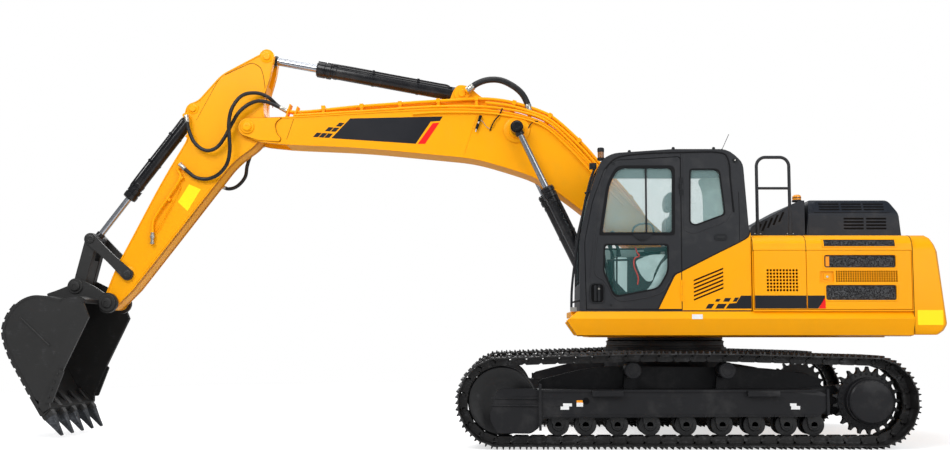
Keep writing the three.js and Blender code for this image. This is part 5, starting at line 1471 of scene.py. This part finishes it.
beacon = Piece("amberLens")
beaconFoot = (1421, -470, 2598)
beacon.turned([(0, 18), (46, 18), (48, 26), (48, 62), (40, 74), (22, 80), (0, 82)], beaconFoot, (0, 0, 1), 32)
beacon.finish("trimPlastic").turned([(0, 0), (54, 0), (54, 14), (50, 20), (0, 20)], beaconFoot, (0, 0, 1), 32)
beacon.turned([(44, 40), (49.5, 40), (49.5, 48), (44, 48)], beaconFoot, (0, 0, 1), 32)
beacon.done("roof_beacon", "upper", edge=0, slot="cab_plastic")
print("hood and rails made")


# Cab.
face = -1340
glassPlane = (face + 10, face + 18)
upperWindow = [(-822, 2176, 20), (-100, 2176, 30), (-92, 2848, 60), (-650, 2848, 70), (-745, 2686, 100)]
lowerWindow = [(-805, 1776, 40), (-696, 1521, 60), (-251, 1606, 60), (-151, 1776, 50), (-148, 2052, 40),
               (-794, 2052, 40)]
quarterWindow = [(85, 2282, 30), (137, 2256, 30), (441, 2368, 40), (390, 2832, 60), (93, 2832, 40)]
rightWindow = [(-820, 2080, 40), (560, 2080, 40), (540, 2860, 50), (-690, 2860, 50)]
doorRing = [(-985, 1391), (-10, 1391), (-10, 2965, 40), (-700, 2925, 60), (-790, 2840, 50), (-915, 2500, 60),
            (-1000, 2080, 60)]


# A line of a small round section that lies half in the face of the cab.
def edging(piece, points, radius, out=0.0, step=25):
    piece.pipe([(x, face - out, z) for x, z in points], step, radius, 8)


# A rubber frame round a window.
def seal(piece, ring, wide, proud):
    piece.finish("sealRubber")
    piece.windowed(inset(ring, -wide), [inset(ring, 5)], face - proud, face + 9, 2.5)


shell = Piece("graphitePaint").likeNode("cab_shell")
shell.done("cab_body", "upper", edge=9, segments=3, stands=("cab_shell",))

trim = Piece("graphitePaint")
rearPanel = [(18, 2996, 20), (440, 2996, 60), (489, 2845, 60), (526, 2390, 60), (445, 2280, 60),
             (109, 2160, 40), (18, 2200, 20)]
trim.windowed(rearPanel, [inset(quarterWindow, -8)], face - 4, face + 3, 3)
trim.finish("yellowPaint").side([(-5, 1380), (703, 1380), (703, 2185, 20), (672, 2117, 60), (-5, 1775)],
                                face - 4, face + 2)
louvres = [1482 + 39.2 * i for i in range(6)]
for z in louvres:
    trim.side([(112, z + 14), (415, z + 138), (415, z + 152), (112, z + 28)], face - 12, face - 3)
# A dark strip below each louvre: painted shadow under the blades.
trim.finish("paintedHoleShade")
for z in louvres:
    trim.side([(112, z - 4), (415, z + 120), (415, z + 140), (112, z + 16)], face - 4.8, face - 3)
for start, wide, low, high in ((229, 60, 1397, 1446), (328, 88, 1397, 1446), (326, 42, 1468, 1496),
                               (408, 62, 1468, 1506), (507, 40, 1468, 1510)):
    lean = 0.62 * (high - low)
    trim.finish("blackFilm").side([(start, low), (start + wide, low), (start + wide + lean, high),
                                   (start + lean, high)], face - 5.4, face - 3)
bandFront = [(434, 1397), (700, 1397), (700, 1530), (594, 1530), (545, 1455), (472, 1448)]
trim.side(bandFront, face - 5.4, face - 3)
trim.finish("sealRubber")
edging(trim, [(-6, 1781), (300, 1936), (640, 2107), (684, 2140), (699, 2200)], 6, 2)
edging(trim, [(-780, 2842), (-743, 2893), (-667, 2953), (-445, 2992), (-10, 3010), (393, 3010), (462, 2985),
              (496, 2898), (505, 2744), (524, 2521), (536, 2390)], 8, 1)
edging(trim, [(589, 2600), (592, 2350), (591, 2092)], 3)
trim.side([(-8, 1388), (-2, 1388), (-2, 2996), (-8, 2996)], face - 1, face + 4)
seal(trim, quarterWindow, 11, 7)
trim.finish("cabPlastic").side(box(332, 462, 2098, 2163, 30), face - 9, face + 1)
trim.finish("trimPlastic").side(box(358, 436, 2119, 2143, 11), face - 12, face - 8)
trim.finish("cabPlastic").pin(556, 2928, 21, face - 13, face, 24)
trim.finish("zincFitting").pin(556, 2928, 8, face - 16, face - 12, 16)
hinges = (("cabPlastic", 17, 2566, 2746, 58), ("yellowPaint", 12, 1470, 1691, 70))
for paint, reach, low, high, long in hinges:
    for start in (low, high - long):
        trim.finish(paint).block(-4, reach, face - 8, face - 1, start, start + long)
        trim.rod((-12, face - 4, start), (-12, face - 4, start + long), 10)
for x, z in ((-527, 3024), (-70, 3056), (350, 3056)):
    trim.finish("cabPlastic")
    trim.turned([(0, -14), (17, -14), (17, 8), (11, 20), (0, 22)], (x, face + 60, z), (0, 0, 1), 20)
trim.turned([(0, -8), (20, -8), (20, 6), (9, 26), (0, 26)], (453, face + 150, 3046), (0, 0, 1), 20)
trim.rod((453, face + 150, 3060), (530, face + 150, 3228), 3.2, 8)
trim.done("cab_trim", "upper", edge=1.2, segments=1, slot="graphite_paint")

door = Piece("graphitePaint")
door.windowed(doorRing, [upperWindow, lowerWindow], face, face + 28, 4)
edging(door, [(-873, 2140), (-895, 1950), (-905, 1800), (-880, 1730), (-812, 1686), (-761, 1620),
              (-720, 1535), (-668, 1486), (-600, 1479), (-317, 1524), (-206, 1572), (-123, 1690),
              (-84, 1745)], 6)
edging(door, [(-968, 1430), (-955, 1700), (-915, 2050), (-846, 2480), (-800, 2760), (-765, 2850),
              (-715, 2905), (-640, 2935)], 4)
seal(door, upperWindow, 26, 6)
seal(door, lowerWindow, 12, 4)
door.finish("yellowPaint").side([(-248, 1394), (-14, 1394), (-14, 1768), (-73, 1743, 30)], face - 3, face + 2)
door.finish("sealRubber")
edging(door, [(-253, 1396), (-160, 1588), (-84, 1744), (-14, 1776)], 5, 2, 12)
door.finish("cabPlastic").side(box(-375, -357, 2170, 2852), face - 1, face + 9)
door.side([(-506, 2163, 8), (-306, 2163, 8), (-338, 2122, 14), (-390, 2093, 12), (-425, 2093, 12),
           (-478, 2122, 14)], face - 13, face + 1)
door.rod((-407, face - 20, 2118), (-407, face - 10, 2118), 13, 16)
# A dark patch inside the handle's frame: painted shade of its recess.
door.finish("paintedHoleShade").side(box(-944, -807, 1456, 1652, 44), face - 1.2, face + 2)
door.finish("cabPlastic").windowed(box(-954, -797, 1446, 1662, 52), [box(-938, -813, 1462, 1646, 40)],
                                   face - 6, face + 2, 2.5)
door.side(box(-910, -884, 1472, 1636, 12), face - 17, face - 3)
door.side(box(-872, -846, 1472, 1636, 12), face - 9, face - 1)
door.finish("zincFitting").pin(-859, 1600, 10, face - 12, face - 8, 20)
door.finish("cabPlastic").pin(-738, 1432, 13, face - 6, face, 20)
door.pin(-700, 2892, 15, face - 9, face, 20)
door.finish("trimPlastic").side([(-960, 1800, 20), (-830, 1830, 30), (-830, 2120, 30), (-930, 2120, 20)],
                                face + 27, face + 33)
door.rod((-760, face + 60, 1700), (-830, face + 60, 2160), 13, 14)
for x, z in ((-760, 1700), (-830, 2160)):
    door.rod((x, face + 60, z), (x, face + 26, z), 13, 14)
for paint, reach, low, high, long in hinges:
    door.finish(paint).block(-20 - reach, -22, face - 5.5, face + 1, low + long + 3, high - long - 3)
    door.rod((-12, face - 4, low + long + 2), (-12, face - 4, high - long - 2), 10)
door.done("cab_door_leaf", "cab_door", edge=0, stands=("cab_door",))


def pane(name, ring, node, body, planes=glassPlane):
    Piece("cabGlass").windowed(inset(ring, 1), [], *planes, 1).done(name, body, edge=0, stands=(node,))


pane("upper_pane", upperWindow, "door_glass_upper", "cab_door")
pane("lower_pane", lowerWindow, "door_glass_lower", "cab_door")
pane("quarter_pane", quarterWindow, "quarter_glass", "upper")
pane("right_pane", rightWindow, "right_glass", "upper", (-485, -477))
for node, name in (("windscreen", "front_pane"), ("rear_glass", "rear_pane"), ("roof_hatch", "roof_pane")):
    Piece("cabGlass").likeNode(node).done(name, "upper", edge=0, stands=(node,))

# Front of the cab: rail, lamp, wiper and their brackets.
front = Piece("cabPlastic")
rail = [(-1139, 1410), (-1133, 1597), (-1104, 1858), (-1066, 2106), (-1009, 2410), (-967, 2605), (-931, 2744),
        (-890, 2850)]
front.pipe([(x, -1290, z) for x, z in rail], 40, 13, 12)
for x, z, reach in ((-1136, 1460, 80), (-1066, 2106, 90), (-967, 2605, 80)):
    front.rod((x, -1290, z), (x + reach, -1300, z + 20), 10, 10)
front.block(-945, -872, -1312, -1262, 2842, 2905).rod((-905, -1320, 2874), (-905, -1250, 2874), 20, 16)
front.rod((-994, -1290, 2591), (-905, -1290, 2618), 11, 12)
front.turned([(0, -4), (38, -4), (38, 22), (0, 22)], (-822, -1255, 2944), (0, 0, 1), 24)
front.turned([(0, 66), (35, 66), (36, 100), (30, 112), (0, 112)], (-822, -1255, 2960), (0, 0, 1), 24)
front.finish("smokedLens").turned([(0, 6), (33, 6), (33, 67), (0, 67)], (-822, -1255, 2960), (0, 0, 1), 24)
front.finish("cabPlastic").rod((-1042, -900, 2150), (-1030, -860, 1700), 8, 10)
front.block(-1046, -1032, -935, -800, 1685, 1700).block(-1065, -1032, -960, -860, 2130, 2185)
front.finish("zincFitting").block(-1150, -1085, -1310, -1260, 1368.5, 1412)
front.done("cab_front", "upper", edge=1.5, segments=1, slot="cab_plastic")

# Lining, console, levers and screen inside the cab.
seatMiddle = -902.5
inside = Piece("palePlastic")
inside.side([(632, 1430), (640, 1430), (640, 2210), (590, 2870), (582, 2866), (632, 2206)], -1285, -1222)
inside.side([(632, 1430), (640, 1430), (640, 2210), (632, 2210)], -1285, -520)
inside.side([(-640, 2985), (400, 2985), (400, 2997), (-640, 2997)], -1290, -1172)
inside.side([(-640, 2985), (400, 2985), (400, 2997), (-640, 2997)], -612, -515)
inside.side([(120, 2885), (400, 2985), (400, 2997), (120, 2997)], -1160, -630)
inside.side([(-960, 1440), (620, 1440), (620, 2060, 40), (-900, 2060, 40)], -522, -512)
inside.side([(520, 1430), (632, 1430), (632, 2330, 60), (540, 2330, 60)], -1222, -590)
inside.finish("sealRubber").block(-1000, 630, -1290, -520, 1411.5, 1417)
inside.finish("trimPlastic")
for out in (-1, 1):
    y = seatMiddle + out * 315
    if out > 0:
        inside.side([(-705, 1780, 40), (-270, 1780, 40), (-270, 1965, 40), (-705, 1945, 60)], y - 62, y + 62)
    inside.side([(-370, 1985, 20), (-50, 2000, 20), (-40, 2040, 20), (-380, 2030, 20)], y - 42, y + 42)
    inside.pipe([(-640, y, 1940), (-646, y, 2010), (-660, y, 2060)], 15, lambda t: 26 - 12 * t, 14)
    inside.pipe([(-660, y, 2050), (-672, y, 2110), (-700, y, 2178), (-712, y, 2205)], 12,
                lambda t: 17 + 10 * math.sin(3 * t), 14)
    y = seatMiddle + out * 90
    inside.rod((-808, y, 1880), (-795, y, 1990), 17, 14)
    inside.side([(-930, 1472, 10), (-770, 1482, 10), (-770, 1498, 10), (-930, 1492, 10)], y - 45, y + 45)
    inside.rod((-52, seatMiddle + out * 55, 2380), (-38, seatMiddle + out * 55, 2480), 7, 10)
inside.side([(-790, 2250, 20), (-755, 2250, 20), (-730, 2450, 20), (-765, 2450, 20)], -640, -540)
inside.rod((-760, -560, 2100), (-760, -560, 2260), 12, 12)
inside.pipe([(-467, -900, 2190), (-441, -900, 2271), (-390, -900, 2303), (-314, -900, 2315),
             (-252, -900, 2296), (-227, -900, 2190)], 20, 12, 12)
inside.block(-470, -225, -960, -840, 2090, 2200)
inside.rod((-672, -1286, 1520), (-668, -1286, 1930), 9, 12)
inside.rod((-770, -1284, 1893), (-545, -1284, 1902), 11, 12)
# Left console with its cloth side, and the seat belt in front of it.
inside.finish("palePlastic").side([(-476, 1890, 30), (-335, 1952, 60), (-163, 1958, 20), (-238, 1860, 60),
                                   (-288, 1750, 40), (-301, 1680, 30), (-362, 1676, 60), (-435, 1762, 60)],
                                  -1288, -1262)
inside.side([(-135, 1925, 20), (-209, 1859, 40), (-316, 1640, 40), (-372, 1578, 10), (-194, 1610, 50),
             (-125, 1798, 50)],
            -1287, -1265)
inside.side([(-690, 1690, 20), (-566, 1560, 20), (-560, 1925, 20), (-690, 1925, 20)], -1286, -1265)
inside.side([(375, 2090), (632, 2090), (600, 2870), (300, 2850, 90), (366, 2701, 90)], -524, -512)
inside.finish("redWebbing").pipe([(-476, -1288, 2036), (-458, -1288, 1976), (-434, -1288, 1940),
                                  (-484, -1290, 1915), (-491, -1290, 1840), (-449, -1290, 1718),
                                  (-456, -1290, 1645)], 20, 7, 8)
inside.done("cab_inside", "upper", edge=3, segments=1, slot="cab_plastic")
for node, name, edge in (("seat_base", "seat_stand", 12), ("pedals_and_levers", "pedal_box", 6)):
    Piece("trimPlastic").likeNode(node).done(name, "upper", edge=edge, stands=(node,))
print("cab made")


# Seat: padded pieces, swollen by the cloth solver inside the space of their fixed solids
pads = {
    "seat_squab": {"node": "seat_cushion", "rise": 0.022, "channels": "x", "fill": 0.8, "y": (-1112, -693),
                   "ring": [(-658, 1652, 40), (-216, 1652, 40), (-182, 1766, 46), (-670, 1774, 60)]},
    "seat_rest": {"node": "seat_back", "rise": 0.022, "channels": "z", "fill": 0.75, "y": (-1100, -705),
                  "ring": [(-140, 1716, 30), (-72, 1716, 30), (-18, 2400, 40), (-94, 2400, 40)]},
    "seat_head": {"node": None, "rise": 0.016, "channels": None, "fill": 0.75, "y": (-1020, -785),
                  "ring": [(-122, 2440, 50), (-20, 2440, 40), (-8, 2640, 50), (-104, 2640, 60)]},
}


def swollen(made, rise):
    piece = bpy.data.objects.new("pad", made)
    bpy.context.scene.collection.objects.link(piece)
    remesh = piece.modifiers.new("voxels", "REMESH")
    remesh.mode, remesh.voxel_size = "VOXEL", 0.006
    depsgraph = bpy.context.evaluated_depsgraph_get()
    fine = bpy.data.meshes.new_from_object(piece.evaluated_get(depsgraph))
    piece.modifiers.clear()
    piece.data = fine
    rest = [v.co.copy() for v in fine.vertices]
    cloth = piece.modifiers.new("cloth", "CLOTH")
    cloth.settings.use_pressure = True
    cloth.settings.uniform_pressure_force = 4
    cloth.settings.effector_weights.gravity = 0
    for step in range(1, 21):
        bpy.context.scene.frame_set(step)
    depsgraph = bpy.context.evaluated_depsgraph_get()
    blown = bpy.data.meshes.new_from_object(piece.evaluated_get(depsgraph))
    piece.modifiers.clear()
    bpy.context.scene.frame_set(1)
    for vert, old in zip(blown.vertices, rest):
        moved = vert.co - old
        if moved.length > rise:
            vert.co = old + moved.normalized() * rise
    piece.data = blown
    made = piece.data
    bpy.data.objects.remove(piece)
    return made


for name, facts in pads.items():
    plain = Piece("seatCloth").side(facts["ring"], *facts["y"]).plain(name)
    plain.transform(onMachine)
    made = swollen(plain, facts["rise"])
    # Sewn channels: grooves across the pad, near its middle.
    for vert in made.vertices:
        if not facts["channels"]:
            break
        place = onMachine.inverted() @ vert.co
        along = place.x if facts["channels"] == "x" else place.z
        groove = math.exp(-((along / 84) % 1.0 - 0.5) ** 2 / 0.012)
        lift = Vector((0, 0, -1)) if facts["channels"] == "x" else Vector((1, 0, 0.1))
        top = place.z > 1740 if facts["channels"] == "x" else True
        if top and abs(place.y - seatMiddle) < 150:
            vert.co += lift * 0.006 * groove
    piece = settle(made, name, "upper", ["seatCloth"], 0, stands=[facts["node"]] if facts["node"] else ())
    smooth = piece.modifiers.new("smooth", "SUBSURF")
    smooth.levels = smooth.render_levels = 1
print("seat pads made")


# Floor, backdrop and light.
stage = {"floor": 60, "drop": 0.002, "clear": (7.0, 13.0)}


def stagePaint():
    paint = bpy.data.materials.new("floorPaint")
    paint.use_nodes = True
    tree = paint.node_tree
    surface = tree.nodes["Principled BSDF"]
    wire = Wire(tree)
    seen = wire.node("ShaderNodeLightPath")
    direct = seen.maths("MAXIMUM", seen.other("Is Camera Ray"), seen.other("Is Transmission Ray"))
    surface.inputs["Base Color"].default_value = (0.60, 0.60, 0.60, 1)
    surface.inputs["Roughness"].default_value = 0.9
    surface.inputs["Specular IOR Level"].default_value = 0.1
    surface.inputs["Emission Color"].default_value = (1, 1, 1, 1)
    feed(wire, surface, "Emission Strength", direct * 0.64)
    place = wire.node("ShaderNodeTexCoord").other("Object")
    reach = wire.node("ShaderNodeVectorMath", {"operation": "LENGTH"}, {0: place}).other("Value")
    feed(wire, surface, "Alpha", spread(wire, reach, *stage["clear"], 1.0, 0.0))
    return paint


floor = bpy.data.meshes.new("floor")
half = stage["floor"] / 2
corners = [(-half, -half, 0), (half, -half, 0), (half, half, 0), (-half, half, 0)]
floor.from_pydata(corners, [], [(0, 1, 2, 3)])
floor.materials.append(stagePaint())
floorPiece = bpy.data.objects.new("floor", floor)
floorPiece.location.z = -stage["drop"]
bpy.context.scene.collection.objects.link(floorPiece)

sky = bpy.data.worlds.new("studio")
bpy.context.scene.world = sky
sky.use_nodes = True
sky.node_tree.nodes.clear()
wire = Wire(sky.node_tree)
seen = wire.node("ShaderNodeLightPath")
white = wire.maths("MAXIMUM", seen.other("Is Camera Ray"), seen.other("Is Transmission Ray"))
shade = wire.node("ShaderNodeBackground", {}, {"Color": (0.93, 0.96, 1.0, 1), "Strength": 0.55})
plain = wire.node("ShaderNodeBackground", {}, {"Color": (1, 1, 1, 1), "Strength": 1.0})
dim = wire.node("ShaderNodeBackground", {}, {"Color": (0.93, 0.96, 1.0, 1), "Strength": 0.28})
lit = wire.node("ShaderNodeMixShader", {}, {0: seen.other("Is Glossy Ray"), 1: shade, 2: dim})
both = wire.node("ShaderNodeMixShader", {}, {0: white, 1: lit, 2: plain})
wire.node("ShaderNodeOutputWorld", {}, {"Surface": both})

lamps = {
    "key": {"at": (-5.5, -9.5, 9.0), "size": 6.0, "watts": 800},
    "fill": {"at": (8.0, -10.0, 5.0), "size": 7.0, "watts": 400},
    "back": {"at": (-2.0, 9.0, 8.5), "size": 7.0, "watts": 520},
    "top": {"at": (1.0, -1.0, 10.5), "size": 8.0, "watts": 440},
}
for name, facts in lamps.items():
    lamp = bpy.data.lights.new(name, "AREA")
    lamp.energy, lamp.size = facts["watts"], facts["size"]
    holder = bpy.data.objects.new(name, lamp)
    holder.location = facts["at"]
    holder.rotation_euler = (Vector((0, 0, 1.5)) - holder.location).to_track_quat("-Z", "Y").to_euler()
    bpy.context.scene.collection.objects.link(holder)
